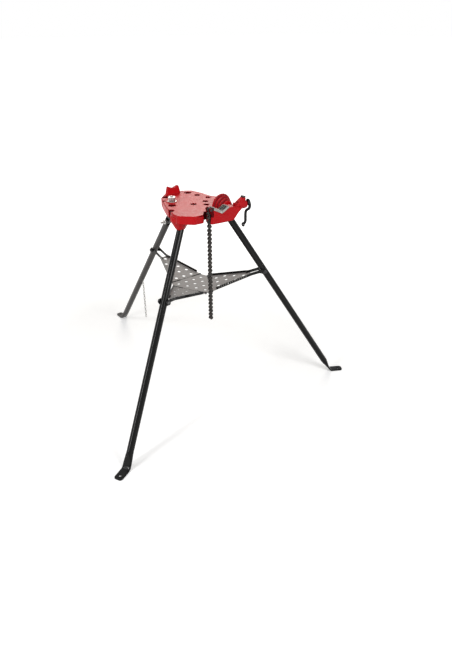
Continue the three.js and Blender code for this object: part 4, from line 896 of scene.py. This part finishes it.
# Ceiling-brace screw
def brace_screw():
    place = Matrix.Translation(BRACE_PLACE)
    washer = lathe([(7.4, 0.3), (18.0, 0.3), (18.5, 0.8), (18.5, 1.8), (18.0, 2.3), (7.4, 2.3)], 48, True)
    piece_of("brace_flat_washer", Form().add(washer, place), [ZINC], "brace_nut", ["brace_washer"])
    turns = [math.radians(8 + 90 * i + d) for i in range(4) for d in (-6, 0, 6)]
    corners = [(16.8 * math.cos(turn), 16.8 * math.sin(turn)) for turn in turns]
    bore = [circle(7.4, 28)]
    form = Form().add(pierced(corners, bore, 3.8, 17.4), place)
    form.add(pierced(inset(corners, 1.4), bore, 2.6, 18.6), place)
    piece_of("brace_square_nut", form, [ZINC], "brace_nut", ["brace_nut"])
    profile = [(0.01, -33.4), (6.2, -33.4)]
    z = -32.0
    while z < 11.0:
        profile += [(7.0, z), (7.0, z + 0.7), (6.2, z + 1.6), (6.2, z + 2.0)]
        z += 3.0
    profile += [(7.0, 12.6), (5.8, 14.4), (0.01, 14.4)]
    piece_of("brace_thread", Form().add(lathe(profile, 28), place), [DARK], "brace_stem", ["brace_stem"])


# Leg-tie chain
def tie_chain():
    centre = REAR.level(TIE_HEIGHT) - REAR.normal * EYE_STANDOFF
    place = REAR.plane(centre)
    loop = [(x, 0.0, z) for x, z in circle(EYE_RADIUS, 28)]
    eye = Form().add(tube(loop, TIE_WIRE, 12, True), place)
    inner = Vector((REAR.normal[0], 0.0, REAR.normal[1]))
    eye.add(tube([inner * EYE_RADIUS, inner * 10.6], TIE_WIRE, 12), place)
    piece_of("tie_screw_eye", eye, [ZINC], "leg_rear", ["tie_eye"])
    half, straight = 3.5, TIE_PITCH + TIE_WIRE - 7.0
    turns = [math.pi * i / 9 for i in range(10)]
    bend = [(half * math.cos(turn), straight / 2 + half * math.sin(turn)) for turn in turns]
    oval = [(x, 0.0, z) for x, z in bend] + [(-x, 0.0, -z) for x, z in bend]
    hang = -EYE_RADIUS + 2 * TIE_WIRE + 0.9 - (TIE_PITCH / 2 + TIE_WIRE / 2)
    links = Form()
    for order in range(TIE_LINKS):
        turn = Matrix.Rotation((order + 1) * math.pi / 2, 4, "Z")
        drop = Matrix.Translation((0, 0, hang - order * TIE_PITCH))
        links.add(tube(oval, TIE_WIRE, 10, True), place @ drop @ turn)
    piece_of("tie_links", links, [TIE], "tie_chain", ["tie_chain"])


# Stage
def seen_ray(shader):
    """1 for rays that show the stage itself: from the camera, and in metal or glass."""
    path = shader.node("ShaderNodeLightPath").outputs
    seen = shader.maths("MAXIMUM", path["Is Camera Ray"], path["Is Glossy Ray"])
    return shader.maths("MAXIMUM", seen, path["Is Transmission Ray"])


def white_floor():
    shader = Shader("white_floor")
    seen = seen_ray(shader)
    shader.feed("Base Color", shader.mix(seen, (0.42, 0.42, 0.42), (0.93, 0.93, 0.93)))
    shader.set(Roughness=0.9, Specular_IOR_Level=0.0)
    distance = shader.node("ShaderNodeVectorMath", operation="LENGTH")
    shader.link(shader.place, distance.inputs[0])
    far = shader.span(distance.outputs["Value"], 0.27, 1.0, 0.7, 2.4)
    shader.surface.inputs["Emission Color"].default_value = (1.0, 1.0, 1.0, 1.0)
    shader.feed("Emission Strength", shader.maths("MULTIPLY", far, seen))
    return shader.material


def stage():
    mesh = bpy.data.meshes.new("floor")
    half = 60.0
    corners = [(-half, -half, 0), (half, -half, 0), (half, half, 0), (-half, half, 0)]
    mesh.from_pydata(corners, [], [(0, 1, 2, 3)])
    floor = bpy.data.objects.new("floor", mesh)
    scene.collection.objects.link(floor)
    mesh.materials.append(white_floor())


def lamp(name, place, target, size, power, colour=(1.0, 1.0, 1.0), height=None):
    light = bpy.data.lights.new(name, "AREA")
    light.shape = "RECTANGLE" if height else "DISK"
    light.size = size
    light.size_y = height or size
    light.energy = power
    light.color = colour
    holder = bpy.data.objects.new(name, light)
    holder.location = place
    holder.rotation_euler = (Vector(target) - Vector(place)).to_track_quat("-Z", "Y").to_euler()
    scene.collection.objects.link(holder)


def world():
    made = bpy.data.worlds.new("studio")
    scene.world = made
    made.use_nodes = True
    tree = made.node_tree
    back = tree.nodes["Background"]
    back.inputs["Color"].default_value = (1.0, 1.0, 1.0, 1.0)
    path = tree.nodes.new("ShaderNodeLightPath")
    seen = path.outputs["Is Camera Ray"]
    for name in ("Is Glossy Ray", "Is Transmission Ray"):
        either = tree.nodes.new("ShaderNodeMath")
        either.operation = "MAXIMUM"
        tree.links.new(seen, either.inputs[0])
        tree.links.new(path.outputs[name], either.inputs[1])
        seen = either.outputs[0]
    strength = tree.nodes.new("ShaderNodeMapRange")
    strength.inputs["To Min"].default_value = 0.25
    strength.inputs["To Max"].default_value = 1.0
    tree.links.new(seen, strength.inputs["Value"])
    tree.links.new(strength.outputs["Result"], back.inputs["Strength"])


def camera():
    data = bpy.data.cameras.new("camera")
    data.sensor_fit = "VERTICAL"
    data.sensor_height = SENSOR
    data.lens = CAMERA_LENS
    holder = bpy.data.objects.new("camera", data)
    holder.location = CAMERA_PLACE
    holder.rotation_euler = CAMERA_LOOK.to_track_quat("-Z", "Y").to_euler()
    scene.collection.objects.link(holder)
    scene.camera = holder


cast_base()
jaws()
legs()
leg_pins()
tray_bolts()
tray_leaves()
tray_panel()
fold_pins()
vise_chain()
screw_and_crank()
brace_screw()
tie_chain()
stage()
lamp("key", (-2.4, 0.6, 2.7), (0.0, -0.2, 0.6), 1.0, 20.0)
lamp("strip", (-2.55, -0.7, 1.35), (-0.3, -0.4, 0.4), 0.25, 28.0, height=1.7)
lamp("front", (0.3, -3.0, 2.0), (0.0, -0.2, 0.6), 1.5, 48.0)
lamp("back", (1.5, 1.7, 2.4), (0.0, -0.25, 0.8), 1.4, 30.0, (1.0, 0.96, 0.88))
world()
camera()
scene.view_settings.view_transform = "Standard"
